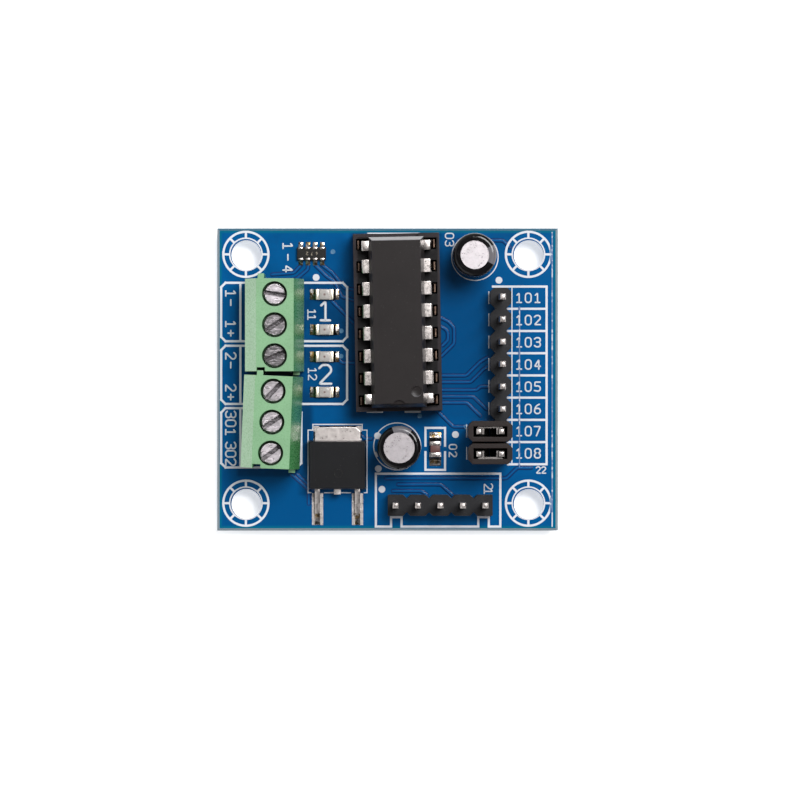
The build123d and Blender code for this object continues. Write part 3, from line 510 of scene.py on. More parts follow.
def screw_steel(index):
    """Plated screw head, scratched by its screwdriver and dulled by stains, with painted shade darkening the
    steel down in its slot.
    """
    steel = bpy.context.scene.module_metal.steel
    material, tree, shader = new_finish(f"screw_steel_{index}", 0.3, metallic=1.0)
    centre = middle(SCREWS[index])
    top = corners(SCREWS[index])[1].z
    wear = SCREW_WEAR[index]
    angle = SCRATCH_ANGLES[index]
    along = scratches(tree, centre, angle, (0.55, 6.5, 1.0), 0.42, 0.62)
    crossing = scratches(tree, centre, angle + 78, (0.8, 5.0, 1.0), 0.5, 0.66)
    stain = eased(tree, noise(tree, place(tree, centre), 1.1), 0.45, 0.7)
    worn = times(tree, maths(tree, "MAXIMUM", along, crossing), wear)
    dull = drifting(tree, times(tree, stain, 0.35), steel, 1.0, 0.55)
    face = mixed(tree, worn, dull, shifted(steel, 0.34))
    # Painted shade: the steel is painted darker with depth below the head's top, in the slot and down the
    # head's sides
    slot_shade = eased(tree, split(tree, place(tree))[2], top - 0.12, top - 0.5)
    coloured(tree, shader, mixed(tree, slot_shade, face, shifted(steel, 0.33)))
    uneven_gloss(tree, shader, maths(tree, "MAXIMUM", worn, stain), 0.27, 0.52)
    relief(tree, shader, maths(tree, "ADD", along, crossing), 0.02 * (0.3 + wear))
    return material


def can_aluminium(node):
    """Drawn aluminium with a milky, mottled skin and faint dark pits."""
    aluminium = bpy.context.scene.module_metal.aluminium
    material, tree, shader = new_finish(f"aluminium_{node}", 0.36, metallic=1.0)
    vector = place(tree, middle(node))
    mottle = noise(tree, vector, 2.2, detail=5.0, roughness=0.75)
    milky = drifting(tree, eased(tree, mottle, 0.3, 0.7), aluminium, 0.86, 1.0)
    pits = times(tree, eased(tree, noise(tree, vector, 7.0, detail=2.0), 0.64, 0.74), 0.06)
    coloured(tree, shader, mixed(tree, pits, milky, shifted(aluminium, 0.5)))
    uneven_gloss(tree, shader, mottle, 0.22, 0.36)
    relief(tree, shader, mottle, 0.003)
    return material


# Stripe on a sleeve: the angles from its middle where it ends and where it is full, and its dark dash
STRIPE_END = 29
STRIPE_FULL = 27
STRIPE_DASH = (-0.35, 0.35, -1.9, 1.5)


def shrunk_film(node, stripe_angle):
    """Black film, glossy and slightly rippled, with a grey stripe down one side."""
    colours = bpy.context.scene.module_plastic
    material, tree, shader = new_finish(f"sleeve_film_{node}", 0.14, specular=0.25)
    vector = place(tree, middle(node), stripe_angle)
    axes = split(tree, vector)
    angle = maths(tree, "ABSOLUTE", maths(tree, "ARCTAN2", axes[1], axes[0]))
    stripe = eased(tree, angle, radians(STRIPE_END), radians(STRIPE_FULL))
    dash = zone(tree, (axes[1], axes[2]), *STRIPE_DASH, soft=0.05)
    stripe = times(tree, stripe, maths(tree, "SUBTRACT", 1.0, dash))
    grey = drifting(tree, noise(tree, vector, 3.0, detail=4.0), colours.stripe, 0.75, 1.1)
    coloured(tree, shader, mixed(tree, stripe, colours.sleeve, grey))
    relief(tree, shader, noise(tree, vector, 0.9), 0.05)
    return material


def fired_ceramic(name, colour, roughness):
    """Fired ceramic with a fine uneven grain."""
    material, tree, shader = new_finish(name, roughness, specular=0.15)
    grain = noise(tree, place(tree), 6.0, detail=4.0, roughness=0.7)
    coloured(tree, shader, drifting(tree, grain, colour, 0.75, 1.25))
    relief(tree, shader, grain, 0.008)
    return material


# Middle of each light-emitting diode, and half the side of its die
DIODES = ((-7.2, 9.72), (-7.2, 5.69), (-7.2, 2.6), (-7.2, -1.45))
DIE_HALF = 0.1


def lens_resin():
    """Pale cast resin that lets the base and the reddish die show through."""
    colours = bpy.context.scene.module_plastic
    material, tree, shader = new_finish("led_resin", 0.2)
    vector = place(tree)
    axes = split(tree, vector)
    cloud = noise(tree, vector, 2.6, detail=4.0, roughness=0.7)
    pale = drifting(tree, eased(tree, cloud, 0.35, 0.65), colours.resin, 0.78, 1.0)
    for x, y in DIODES:
        die = zone(tree, axes, x - DIE_HALF, x + DIE_HALF, y - DIE_HALF, y + DIE_HALF, soft=0.06)
        pale = mixed(tree, times(tree, die, 0.8), pale, tone(112, 52, 50))
    coloured(tree, shader, pale)
    relief(tree, shader, cloud, 0.01)
    shader.inputs["Alpha"].default_value = 0.6
    return material


def table_top():
    """Smooth white table, lit a little from below."""
    stage = bpy.context.scene.module_stage
    material, tree, shader = new_finish("table_top", 0.6, specular=0.2)
    cloud = noise(tree, place(tree), 0.02, detail=2.0)
    coloured(tree, shader, drifting(tree, cloud, stage.floor, 0.99, 1.0))
    shader.inputs["Emission Color"].default_value = (1, 1, 1, 1)
    shader.inputs["Emission Strength"].default_value = stage.glow
    return material


# Modelling

# Before edges are rounded: points this close are merged, and faces this near to flat are joined
MERGE_WITHIN = 0.001
FLAT_WITHIN = 1

# Edges that turn at least this far are rounded
SHARP_FROM = 30


def clear_selection():
    """Nothing selected, so that the next operator acts on its own piece alone."""
    bpy.ops.object.select_all(action="DESELECT")


def dress(piece, name, material, body):
    """Name a new piece, and give it its finish and its body."""
    piece.name = name
    piece.data.name = name
    piece.data.materials.clear()
    piece.data.materials.append(material)
    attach(piece, body)


def paint(node, material):
    """Finish of a CAD node whose shape stays as it is."""
    for holder in NODES[node].material_slots:
        holder.material = material


def softened(node, rounding, material, segments=2, smooth=35):
    """Copy of a CAD node with its sharp edges rounded, which stands for the node."""
    clear_selection()
    source = NODES[node]
    source.select_set(True)
    bpy.context.view_layer.objects.active = source
    bpy.ops.object.duplicate()
    piece = bpy.context.object
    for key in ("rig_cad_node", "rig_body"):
        del piece[key]
    bpy.ops.object.parent_clear(type="CLEAR_KEEP_TRANSFORM")
    bpy.ops.mesh.customdata_custom_splitnormals_clear()
    bpy.ops.object.mode_set(mode="EDIT")
    bpy.ops.mesh.select_all(action="SELECT")
    bpy.ops.mesh.remove_doubles(threshold=MERGE_WITHIN * MM)
    bpy.ops.mesh.dissolve_limited(angle_limit=radians(FLAT_WITHIN))
    bpy.ops.object.mode_set(mode="OBJECT")
    bevel = piece.modifiers.new("rounding", "BEVEL")
    bevel.width = rounding * MM
    bevel.segments = segments
    bevel.limit_method = "ANGLE"
    bevel.angle_limit = radians(SHARP_FROM)
    bpy.ops.object.modifier_apply(modifier="rounding")
    bpy.ops.object.shade_smooth_by_angle(angle=radians(smooth))
    weighted = piece.modifiers.new("flat_faces", "WEIGHTED_NORMAL")
    weighted.keep_sharp = True
    bpy.ops.object.modifier_apply(modifier="flat_faces")
    dress(piece, node + "_shell", material, BODY_OF[node])
    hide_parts(node)


# A corner of a line is cut back by at most this share of each leg, and rounded in these steps
CORNER_LIMIT = 0.45
CORNER_STEPS = (0.0, 0.33, 0.67, 1.0)

# Half-round end of a stroke: distance from its end and share of its full width
STROKE_END = ((0.0, 0.05), (0.13, 0.5), (0.4, 0.8), (1.0, 1.0))


def rounded_corner(before, corner, after, radius):
    """Points of the short curve that replaces a corner."""
    ends = []
    for other in (before, after):
        run = hypot(other[0] - corner[0], other[1] - corner[1])
        share = min(radius / run, CORNER_LIMIT)
        ends.append((corner[0] + (other[0] - corner[0]) * share, corner[1] + (other[1] - corner[1]) * share))
    curve = []
    for step in CORNER_STEPS:
        rest = 1 - step
        sides = zip(ends[0], corner, ends[1])
        curve.append(tuple(rest * rest * a + 2 * rest * step * b + step * step * c for a, b, c in sides))
    return curve


def rounded_line(points, radius, closed):
    """A line through the points with its corners rounded."""
    count = len(points)
    line = []
    for i, point in enumerate(points):
        if not closed and i in (0, count - 1):
            line.append(point)
        else:
            line += rounded_corner(points[i - 1], point, points[(i + 1) % count], radius)
    return line


def half_round_end(tip, inner, half):
    """Points and widths at the end of a stroke, from its tip inwards."""
    x, y, _ = tip
    run = hypot(inner[0] - x, inner[1] - y)
    ux, uy = (inner[0] - x) / run, (inner[1] - y) / run
    return [(x + ux * half * (d - 1), y + uy * half * (d - 1), share) for d, share in STROKE_END]


def raised_lines(name, lines, width, height, level, material):
    """Low rounded ridges along lines on a flat surface, as one mesh that rides on the board."""
    clear_selection()
    bpy.ops.curve.primitive_bezier_curve_add()
    curve = bpy.context.object.data
    curve.splines.clear()
    half = width / 2
    for points, closed in lines:
        path = [(x, y, 1.0) for x, y in rounded_line(points, half * 1.2, closed)]
        if not closed:
            start = half_round_end(path[0], path[1], half)
            end = half_round_end(path[-1], path[-2], half)
            path = start + path[1:-1] + end[::-1]
        spline = curve.splines.new("POLY")
        spline.points.add(len(path) - 1)
        for point, (x, y, share) in zip(spline.points, path):
            point.co = (x * MM, y * MM, 0, 1)
            point.radius = share
        spline.use_cyclic_u = closed
    curve.dimensions = "3D"
    curve.bevel_depth = half * MM
    curve.bevel_resolution = 1
    curve.use_fill_caps = True
    bpy.ops.object.convert(target="MESH")
    piece = bpy.context.object
    bpy.ops.object.transform_apply(location=True, rotation=True, scale=True)
    bpy.ops.object.mode_set(mode="EDIT")
    bpy.ops.mesh.select_all(action="SELECT")
    bpy.ops.transform.resize(value=(1, 1, height / half), center_override=(0, 0, 0))
    bpy.ops.transform.translate(value=(0, 0, level * MM))
    bpy.ops.object.mode_set(mode="OBJECT")
    bpy.ops.object.shade_smooth()
    dress(piece, name, material, "board")


# Numerals and signs on a field 1 high and 0.62 wide: each a list of lines, closed or open
CLOSED, OPEN = True, False
GLYPHS = {
    "0": [([
        (0.16, 0), (0.46, 0), (0.62, 0.18), (0.62, 0.82), (0.46, 1), (0.16, 1), (0, 0.82), (0, 0.18),
    ], CLOSED)],
    "1": [
        ([(0.1, 0.8), (0.32, 1), (0.32, 0)], OPEN),
        ([(0.08, 0), (0.56, 0)], OPEN),
    ],
    "2": [([(0, 0.84), (0.16, 1), (0.46, 1), (0.62, 0.84), (0.62, 0.64), (0, 0), (0.62, 0)], OPEN)],
    "3": [
        ([(0, 0.86), (0.16, 1), (0.46, 1), (0.62, 0.86), (0.62, 0.64), (0.46, 0.52), (0.24, 0.52)], OPEN),
        ([(0.46, 0.52), (0.62, 0.38), (0.62, 0.14), (0.46, 0), (0.16, 0), (0, 0.14)], OPEN),
    ],
    "4": [([(0.46, 0), (0.46, 1), (0, 0.3), (0.62, 0.3)], OPEN)],
    "5": [([
        (0.6, 1), (0.04, 1), (0.02, 0.56), (0.42, 0.6), (0.62, 0.42), (0.62, 0.16), (0.44, 0), (0, 0.08),
    ], OPEN)],
    "6": [([
        (0.5, 1), (0.18, 0.82), (0, 0.46), (0, 0.16), (0.16, 0), (0.46, 0),
        (0.62, 0.16), (0.62, 0.4), (0.46, 0.56), (0.16, 0.56), (0.02, 0.42),
    ], OPEN)],
    "7": [([(0, 1), (0.62, 1), (0.2, 0)], OPEN)],
    "8": [
        ([
            (0.16, 0.53), (0.02, 0.66), (0.02, 0.86), (0.16, 1),
            (0.46, 1), (0.6, 0.86), (0.6, 0.66), (0.46, 0.53),
        ], CLOSED),
        ([
            (0.16, 0.53), (0, 0.38), (0, 0.14), (0.16, 0),
            (0.46, 0), (0.62, 0.14), (0.62, 0.38), (0.46, 0.53),
        ], CLOSED),
    ],
    "-": [([(0.04, 0.5), (0.58, 0.5)], OPEN)],
    "+": [
        ([(0.04, 0.5), (0.58, 0.5)], OPEN),
        ([(0.31, 0.24), (0.31, 0.76)], OPEN),
    ],
}


def lettering(text, x, y, height, pitch, turn=0):
    """Lines of a row of numerals whose first one starts at x, y, reading at an angle."""
    ux, uy = cos(radians(turn)), sin(radians(turn))
    lines = []
    for i, sign in enumerate(text):
        for points, closed in GLYPHS[sign]:
            drawn = []
            for across, up in points:
                along = across * height + i * pitch
                rise = up * height
                drawn.append((x + ux * along - uy * rise, y + uy * along + ux * rise))
            lines.append((drawn, closed))
    return lines


# Rows of numerals: text, place of the first one's foot, height, pitch and reading angle
SMALL_LABELS = (
    ("1-", -18.5, 10.2, 1.15, 1.05, -90),
    ("1+", -18.5, 6.7, 1.15, 1.05, -90),
    ("2-", -18.5, 3.05, 1.15, 1.05, -90),
    ("2+", -18.5, -0.6, 1.15, 1.05, -90),
    ("301", -18.5, -3.65, 1.15, 1.0, -90),
    ("302", -18.5, -7.2, 1.15, 0.95, -90),
    ("1-4", -11.95, 15.6, 1.1, 1.3, -90),
    ("101", 14.7, 8.8, 1.05, 1.05, 0),
    ("102", 14.7, 6.26, 1.05, 1.05, 0),
    ("103", 14.7, 3.72, 1.05, 1.05, 0),
    ("104", 14.7, 1.18, 1.05, 1.05, 0),
    ("105", 14.7, -1.36, 1.05, 1.05, 0),
    ("106", 14.7, -3.9, 1.05, 1.05, 0),
    ("107", 14.7, -6.44, 1.05, 1.05, 0),
    ("108", 14.7, -8.98, 1.05, 1.05, 0),
)
FINE_LABELS = (
    ("11", -9.12, 8.0, 0.92, 0.62, -90),
    ("12", -9.05, 1.3, 0.92, 0.76, -90),
    ("03", 6.6, 16.7, 0.95, 0.85, -90),
    ("02", 7.05, -7.45, 0.85, 0.85, -90),
    ("22", 17.0, -10.72, 0.72, 0.62, 0),
    ("21", 11.05, -11.95, 0.95, 0.55, -90),
)
LARGE_LABELS = (
    ("1", -7.8, 6.75, 2.15, 1.0, 0),
    ("2", -7.8, -0.5, 2.15, 1.0, 0),
)

# One short printed stroke by the regulator, and its width
SPOT = ((-1.34, -8.4), (-1.2, -8.72))
SPOT_WIDTH = 0.3

# Rise of the mask over a track, and in the gap beside it
TRACK_RISE = 0.004
GAP_RISE = 0.002

# Copper tracks on the component side, as seen through the mask
TOP_TRACKS = (
    ((6.0, 7.1), (7.0, 6.6), (7.6, 5.9), (7.6, 4.1), (6.2, 2.7)),
    ((6.0, 6.1), (6.6, 5.8), (6.9, 5.4), (6.9, 4.5), (6.3, 3.9)),
    ((5.8, 0.45), (9.0, 0.45), (10.6, 2.05), (11.4, 2.5)),
    ((5.8, -0.3), (9.5, -0.3), (11.0, 1.2), (11.6, 1.6)),
    ((5.8, -1.2), (10.2, -1.2), (10.6, -0.8), (11.7, -0.8)),
    ((5.8, -1.95), (9.8, -1.95), (11.3, -3.4)),
    ((5.8, -2.65), (9.1, -2.65), (10.6, -4.15)),
    ((5.6, -3.5), (7.5, -5.4), (9.3, -5.4)),
    ((-9.9, 13.1), (-10.7, 12.2), (-13.2, 12.0)),
    ((-9.1, 13.1), (-9.1, 12.6), (-10.3, 11.6), (-10.9, 11.3)),
    ((-8.3, 13.1), (-7.0, 11.8), (-6.1, 11.2), (-5.2, 9.4), (-3.9, 9.1)),
    ((-7.5, 13.1), (-6.3, 12.2), (-4.9, 10.4), (-3.9, 10.3)),
    ((-6.3, 8.9), (-5.4, 8.0), (-3.9, 6.5)),
    ((-5.9, 2.6), (-5.2, 1.9), (-3.9, 1.9)),
    ((-10.9, -10.9), (-9.0, -12.6), (-9.0, -14.2)),
    ((-10.3, -10.9), (-8.4, -12.6)),
    ((1.2, -12.0), (6.1, -12.0), (7.4, -13.2)),
    ((0.6, -12.75), (3.9, -12.75), (4.5, -13.2)),
    ((-0.2, -11.3), (13.6, -11.3), (14.8, -10.1), (16.4, -10.1)),
    ((8.0, 15.9), (13.2, 15.9), (14.0, 15.1)),
    ((-3.9, -5.6), (-2.6, -6.8), (-1.9, -6.8)),
)

# Closed holes: their places, the radius, rim and dimple of each ring, and its height and middle level
VIAS = ((-5.29, 5.56), (-5.32, 2.66), (-6.24, 14.61), (3.67, -4.18), (9.0, -5.4))
VIA_RADIUS = 0.27
VIA_RIM = 0.11
VIA_DIMPLE = 0.012
VIA_HEIGHT = 0.02
VIA_LEVEL = 0.004

# Copper tracks on the solder side, from joint to joint
UNDER_TRACKS = (
    ((-11.2, 9.7), (-8.0, 9.7), (-5.0, 12.7), (-2.9, 12.7)),
    ((-11.2, 6.2), (-7.4, 6.2), (-4.4, 7.6), (-2.9, 7.6)),
    ((-11.2, 2.7), (-6.4, 2.7), (-2.9, 2.5)),
    ((-11.3, -1.4), (-6.0, -1.4), (-3.6, 0.0), (-2.9, 0.0)),
    ((-11.5, -4.9), (-4.0, -4.9), (-1.0, -7.9), (0.3, -7.9)),
    ((-11.6, -8.4), (-8.5, -11.5), (-3.0, -11.5), (-0.6, -13.9)),
    ((4.9, 15.4), (8.0, 15.4), (9.0, 14.1)),
    ((4.9, 12.8), (9.9, 12.8), (12.9, 9.4)),
    ((4.9, 7.7), (9.6, 7.7), (12.9, 4.3)),
    ((4.9, 5.2), (8.6, 5.2), (12.9, 1.7)),
    ((4.9, 2.6), (8.2, 2.6), (11.6, -0.8), (12.9, -0.8)),
    ((4.9, 0.1), (7.6, 0.1), (11.0, -3.3), (12.9, -3.3)),
    ((4.9, -2.4), (6.8, -2.4), (10.4, -6.0)),
    ((2.3, -7.9), (4.6, -10.2), (8.0, -10.2), (10.4, -8.4)),
    ((1.0, -14.4), (1.0, -12.9), (-0.7, -11.2), (-0.7, -9.3), (0.3, -7.9)),
)


class MODULE_OT_board(bpy.types.Operator):
    """Finish the board, raise its copper tracks and print its numerals"""

    bl_idname = "module.board"
    bl_label = "Board, Copper and Print"

    def execute(self, context):
        board = context.scene.module_board
        paint("circuit_board", solder_mask())
        paint("screen_print", printed_ink("worn_ink", WORN_LINES))
        self.add_tracks(board)
        via = track_mask("mask_over_via", board.via)
        for k, (x, y) in enumerate(VIAS):
            self.add_via(f"via_{k + 1}", x, y, via)
        self.add_print(board)
        return {"FINISHED"}

    def add_tracks(self, board):
        """Ridges of the tracks and of the gaps beside them, on both faces."""
        over = track_mask("mask_over_track", board.pour, 1.06)
        beside = track_mask("mask_beside_track", board.copper_edge)
        width = board.track_width / MM
        gap = board.gap_width / MM
        for side, tracks, level in (("top", TOP_TRACKS, BOARD_HIGH.z), ("under", UNDER_TRACKS, BOARD_LOW.z)):
            lines = [(track, OPEN) for track in tracks]
            raised_lines(f"gaps_{side}", lines, width + 2 * gap, GAP_RISE, level, beside)
            raised_lines(f"tracks_{side}", lines, width, TRACK_RISE, level, over)

    def add_via(self, name, x, y, material):
        """Plated hole closed by the mask: a low ring with a dimple."""
        clear_selection()
        bpy.ops.mesh.primitive_cylinder_add(
            vertices=24,
            radius=VIA_RADIUS * MM,
            depth=VIA_HEIGHT * MM,
            location=(x * MM, y * MM, (BOARD_HIGH.z + VIA_LEVEL) * MM),
        )
        piece = bpy.context.object
        bpy.ops.object.transform_apply(location=True, rotation=True, scale=True)
        bpy.ops.object.mode_set(mode="EDIT")
        bpy.ops.mesh.select_all(action="DESELECT")
        bpy.ops.object.mode_set(mode="OBJECT")
        for face in piece.data.polygons:
            face.select = face.normal.z > 0.9
        bpy.ops.object.mode_set(mode="EDIT")
        bpy.ops.mesh.inset(thickness=VIA_RIM * MM)
        bpy.ops.transform.translate(value=(0, 0, -VIA_DIMPLE * MM))
        bpy.ops.object.mode_set(mode="OBJECT")
        bpy.ops.object.shade_smooth_by_angle(angle=radians(40))
        dress(piece, name, material, "board")

    def add_print(self, board):
        """Printed numerals and one printed spot."""
        ink = printed_ink("printed_ink")
        stroke = board.stroke_width / MM
        prints = (
            ("numerals_small", SMALL_LABELS, stroke),
            ("numerals_fine", FINE_LABELS, stroke * 0.85),
            ("numerals_large", LARGE_LABELS, stroke * 1.65),
        )
        for name, rows, width in prints:
            lines = [line for row in rows for line in lettering(*row)]
            raised_lines(name, lines, width, INK_HEIGHT, BOARD_HIGH.z, ink)
        raised_lines("print_spot", [(SPOT, OPEN)], SPOT_WIDTH, INK_HEIGHT, BOARD_HIGH.z, ink)


class MODULE_OT_terminals(bpy.types.Operator):
    """Finish the screw terminals with their screws, cages and contacts"""

    bl_idname = "module.terminals"
    bl_label = "Screw Terminals"

    def execute(self, context):
        plastic = context.scene.module_plastic
        metal = context.scene.module_metal
        # Painted shade: the terminals' faces toward +X take the darker green
        right_side_shade = (0, plastic.terminal_shaded_side)
        green = moulded(
            "terminal_polyamide", plastic.terminal, 0.28, grain=6.0, depth=0.002, dust=0.0, turned=right_side_shade
        )
        contact = plated("contact_tin", metal.tin, 0.34)
        for which in ("upper", "lower"):
            softened(f"terminal_housing_{which}", 0.07, green, smooth=20)
            paint(f"terminal_contacts_{which}", contact)
        cage = plated("cage_steel", metal.steel, 0.38)
        for k, screw in enumerate(SCREWS):
            softened(screw, 0.05, screw_steel(k))
            paint(f"clamp_cage_{k + 1}", cage)
        return {"FINISHED"}


class MODULE_OT_chip(bpy.types.Operator):
    """Finish the chip, its leads, its socket and the socket's contacts"""

    bl_idname = "module.chip"
    bl_label = "Chip and Socket"

    def execute(self, context):
        plastic = context.scene.module_plastic
        metal = context.scene.module_metal
        rail = 0.55
        low, high = corners("socket_frame")
        shaded_between_rails = (low.x + rail, high.x - rail, low.y + rail, high.y - rail)
        # Painted shade: between its rails the socket's plastic is painted darker, under the chip
        frame_plastic = moulded(
            "socket_polyester", plastic.socket, 0.33, grain=4.0, depth=0.006, dust=0.03, specular=0.12,
            inside=(shaded_between_rails, shifted(plastic.socket, 0.2)),
        )
        softened("socket_frame", 0.06, frame_plastic)
        # Painted highlight: the chip's faces toward +Y take the lighter far-end colour
        lit_far_end = (1, plastic.chip_end_highlight)
        epoxy = moulded(
            "chip_epoxy", plastic.chip, 0.3, grain=9.0, depth=0.004, specular=0.11, turned=lit_far_end
        )
        softened("chip_body", 0.07, epoxy)
        softened("chip_leads", 0.05, plated("lead_tin", metal.tin, 0.28, mottle=0.1))
        # Painted shade: the bronze is darkened to about a fifth for the contacts down in the socket's pockets
        paint("socket_contacts", plated("contact_bronze", shifted(metal.bronze, 0.22), 0.3))
        return {"FINISHED"}


class MODULE_OT_headers(bpy.types.Operator):
    """Finish the pin headers and the jumpers"""

    bl_idname = "module.headers"
    bl_label = "Headers and Jumpers"

    def execute(self, context):
        plastic = context.scene.module_plastic
        metal = context.scene.module_metal
        strip = moulded("header_polyester", plastic.header, 0.45, grain=5.0, depth=0.01, specular=0.16)
        pins = plated("pin_tin", metal.tin, 0.3, mottle=0.1)
        for name in ("input", "enable", "output"):
            softened(f"{name}_header_strip", 0.08, strip)
            softened(f"{name}_header_pins", 0.03, pins)
        cap = moulded("jumper_polyester", plastic.jumper, 0.36, grain=4.0, depth=0.008, specular=0.14)
        # Painted shade: the clips' tin is darkened to less than half inside the jumper caps
        clip = plated("clip_tin", shifted(metal.tin, 0.4), 0.3)
        for k in (1, 2):
            softened(f"jumper_cap_{k}", 0.14, cap, segments=3)
            paint(f"jumper_clip_{k}", clip)
        return {"FINISHED"}


class MODULE_OT_capacitors(bpy.types.Operator):
    """Finish the electrolytic capacitors"""

    bl_idname = "module.capacitors"
    bl_label = "Capacitors"

    STRIPE_ANGLES = {"capacitor_1": 82.0, "capacitor_2": 0.0}

    def execute(self, context):
        rubber = moulded("seal_rubber", context.scene.module_plastic.rubber, 0.7, grain=5.0, depth=0.01)
        lead = plated("capacitor_lead_tin", context.scene.module_metal.tin, 0.3)
        for name, angle in self.STRIPE_ANGLES.items():
            paint(f"{name}_can", can_aluminium(f"{name}_can"))
            paint(f"{name}_sleeve", shrunk_film(f"{name}_sleeve", angle))
            paint(f"{name}_seal", rubber)
            paint(f"{name}_leads", lead)
        return {"FINISHED"}


class MODULE_OT_regulator(bpy.types.Operator):
    """Finish the voltage regulator"""

    bl_idname = "module.regulator"
    bl_label = "Regulator"

    RING_CENTRE = (-5.6, -10.7)
    RING_RADIUS = 0.46
    RING_WIDTH = 0.12
    RING_HEIGHT = 0.006

    def execute(self, context):
        plastic = context.scene.module_plastic
        metal = context.scene.module_metal
        epoxy = moulded("regulator_epoxy", plastic.regulator, 0.34, grain=9.0, depth=0.005, specular=0.11)
        softened("regulator_body", 0.08, epoxy)
        tin = plated("regulator_tin", metal.tin, 0.31, mottle=0.08, depth=0.002)
        softened("regulator_tab", 0.06, tin)
        softened("regulator_leads", 0.06, tin)
        self.add_ejector_ring(shifted(plastic.regulator, 0.4))
        return {"FINISHED"}

    def add_ejector_ring(self, colour):
        """Faint ring that the mould's ejector pin left on the body."""
        x, y = self.RING_CENTRE
        turns = [radians(angle) for angle in range(0, 360, 20)]
        ring = [(x + self.RING_RADIUS * cos(turn), y + self.RING_RADIUS * sin(turn)) for turn in turns]
        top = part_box("regulator_body")[1].z / MM
        mark = moulded("ejector_mark", colour, 0.5, grain=9.0, depth=0.005, specular=0.2)
        raised_lines("ejector_ring", [(ring, CLOSED)], self.RING_WIDTH, self.RING_HEIGHT, top, mark)


class MODULE_OT_surface_parts(bpy.types.Operator):
    """Finish the diodes, the resistor array and the ceramic capacitor"""

    bl_idname = "module.surface_parts"
    bl_label = "Surface Parts"

    def execute(self, context):
        plastic = context.scene.module_plastic
        metal = context.scene.module_metal
        ends = plated("end_tin", metal.tin, 0.27)
        base = moulded("led_laminate", plastic.diode_base, 0.45, grain=6.0, depth=0.004, dust=0.0)
        paint("led_bases", base)
        softened("led_lenses", 0.08, lens_resin(), segments=3)
        softened("led_ends", 0.04, plated("led_tin", metal.diode_tin, 0.4))
        softened("resistor_array_body", 0.05, fired_ceramic("glazed_film", plastic.array, 0.35))
        softened("resistor_array_ends", 0.05, ends)
        softened("ceramic_capacitor_body", 0.08, fired_ceramic("barium_ceramic", plastic.ceramic, 0.4))
        softened("ceramic_capacitor_ends", 0.09, ends)
        self.add_array_numerals()
        return {"FINISHED"}

    def add_array_numerals(self):
        """Faint numerals on the resistor array, which read from the far side."""
        centre = middle("resistor_array_body")
        top = corners("resistor_array_body")[1].z
        digits = lettering("472", centre.x + 0.72, centre.y + 0.17, height=0.34, pitch=0.56, turn=180)
        mark = faded_mark()
        raised_lines("array_numerals", digits, width=0.07, height=0.01, level=top, material=mark)


class MODULE_OT_solder(bpy.types.Operator):
    """Finish the pads and the solder"""

    bl_idname = "module.solder"
    bl_label = "Solder"

    def execute(self, context):
        metal = context.scene.module_metal
        softened("surface_solder", 0.025, reflowed_solder(), smooth=50)
        paint("surface_pads", plated("pad_tin", metal.tin, 0.3))
        paint("solder_joints", plated("solder_alloy", metal.solder, 0.2, mottle=0.12, grain=2.0, depth=0.03))
        return {"FINISHED"}


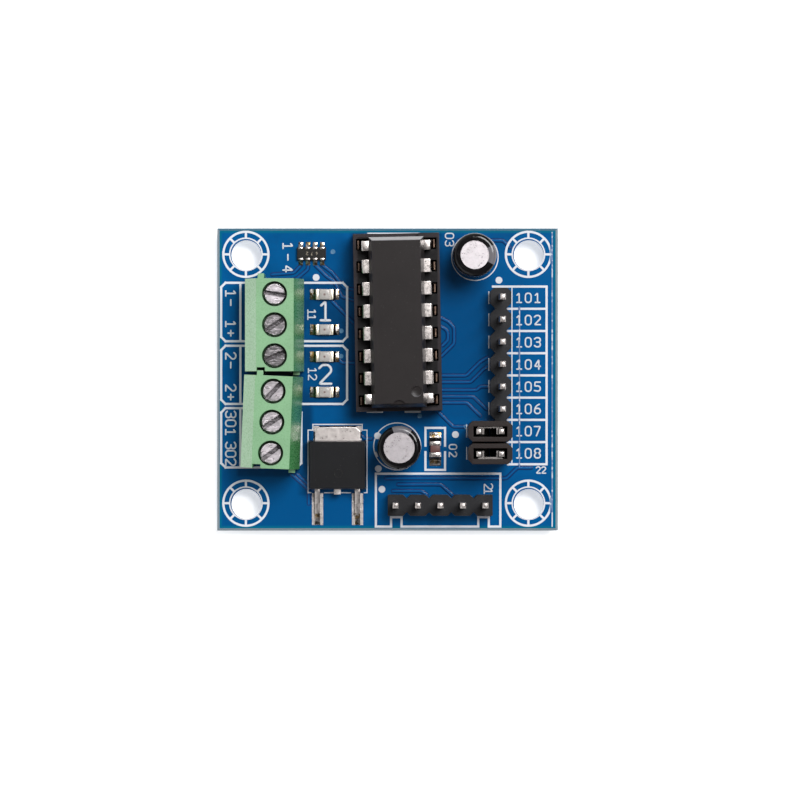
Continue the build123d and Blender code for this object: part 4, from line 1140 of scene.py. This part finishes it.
class MODULE_OT_stage(bpy.types.Operator):
    """Set up the camera, the table and the light"""

    bl_idname = "module.stage"
    bl_label = "Stage"

    # Lights: the middle of each softbox and the side of its square
    KEY_PLACE = (200, 220, 630)
    KEY_SIZE = 300
    FILL_PLACE = (-340, -360, 460)
    FILL_SIZE = 500

    TABLE_SIZE = 6000
    NEAREST_SEEN = 10
    FARTHEST_SEEN = 20000

    # How far up the darker ceiling starts and is full, and how far across the walls blend
    CEILING_START = 0.78
    CEILING_FULL = 0.93
    WALL_BLEND = 0.5

    def execute(self, context):
        stage = context.scene.module_stage
        context.scene.view_settings.view_transform = "Standard"
        self.add_camera(context, stage)
        self.add_table()
        self.add_light("key", self.KEY_PLACE, self.KEY_SIZE, stage.key_power)
        self.add_light("fill", self.FILL_PLACE, self.FILL_SIZE, stage.fill_power)
        self.add_surround(context, stage)
        return {"FINISHED"}

    def add_camera(self, context, stage):
        """Camera straight above the board."""
        height = BOARD_HIGH.z * MM + stage.distance
        bpy.ops.object.camera_add(location=(stage.view_x, stage.view_y, height), rotation=(0, 0, 0))
        camera = context.object
        camera.data.sensor_width = stage.sensor
        camera.data.lens = stage.sensor * stage.distance / stage.view_width
        camera.data.clip_start = self.NEAREST_SEEN * MM
        camera.data.clip_end = self.FARTHEST_SEEN * MM
        context.scene.camera = camera

    def add_table(self):
        """Pale table under the trimmed leads."""
        clear_selection()
        bpy.ops.mesh.primitive_plane_add(size=self.TABLE_SIZE * MM, location=(0, 0, FLOOR_LEVEL * MM))
        table = bpy.context.object
        table.name = "table"
        bpy.ops.object.transform_apply(location=True, rotation=True, scale=True)
        table.data.materials.append(table_top())

    def add_light(self, name, centre, size, power):
        """Square softbox aimed at the board."""
        away = Vector(centre) * MM
        bpy.ops.object.light_add(type="AREA", location=away, rotation=away.to_track_quat("Z", "Y").to_euler())
        light = bpy.context.object
        light.name = name
        light.data.energy = power
        light.data.size = size * MM

    def add_surround(self, context, stage):
        """Pale walls round the table, darker on the right and straight above."""
        world = bpy.data.worlds.new("studio")
        context.scene.world = world
        world.use_nodes = True
        tree = world.node_tree
        aside, _, rise = split(tree, add_node(tree, "ShaderNodeTexCoord").outputs["Generated"])
        rightward = eased(tree, aside, -self.WALL_BLEND, self.WALL_BLEND)
        walls = mixed(tree, rightward, (stage.sky,) * 3, (stage.dusk,) * 3)
        overhead = eased(tree, rise, self.CEILING_START, self.CEILING_FULL)
        tones = mixed(tree, overhead, walls, (stage.ceiling,) * 3)
        feed(tree, tree.nodes["Background"].inputs["Color"], tones)


class MODULE_PT_panel(bpy.types.Panel):
    """Lists the steps that dress the module, and its settings"""

    bl_idname = "MODULE_PT_panel"
    bl_label = "Motor Driver Module"
    bl_space_type = "VIEW_3D"
    bl_region_type = "UI"
    bl_category = "Module"

    def draw(self, context):
        for step in STEPS:
            self.layout.operator(step.bl_idname)
        for group in GROUPS:
            box = self.layout.box()
            settings = getattr(context.scene, group)
            for name in settings.__annotations__:
                box.prop(settings, name)


STEPS = (
    MODULE_OT_stage,
    MODULE_OT_board,
    MODULE_OT_terminals,
    MODULE_OT_chip,
    MODULE_OT_headers,
    MODULE_OT_capacitors,
    MODULE_OT_regulator,
    MODULE_OT_surface_parts,
    MODULE_OT_solder,
)
GROUPS = {
    "module_board": BoardSettings,
    "module_plastic": PlasticSettings,
    "module_metal": MetalSettings,
    "module_stage": StageSettings,
}
CLASSES = (*GROUPS.values(), *STEPS, MODULE_PT_panel)


def register():
    """Make the settings, the steps and the panel known."""
    for item in CLASSES:
        bpy.utils.register_class(item)
    for name, group in GROUPS.items():
        setattr(bpy.types.Scene, name, PointerProperty(type=group))


def unregister():
    """Take the settings, the steps and the panel away."""
    for name in GROUPS:
        delattr(bpy.types.Scene, name)
    for item in reversed(CLASSES):
        bpy.utils.unregister_class(item)


def main():
    """Dress the module step by step."""
    register()
    bpy.ops.module.stage()
    bpy.ops.module.board()
    bpy.ops.module.terminals()
    bpy.ops.module.chip()
    bpy.ops.module.headers()
    bpy.ops.module.capacitors()
    bpy.ops.module.regulator()
    bpy.ops.module.surface_parts()
    bpy.ops.module.solder()


if __name__ == "__main__":
    main()
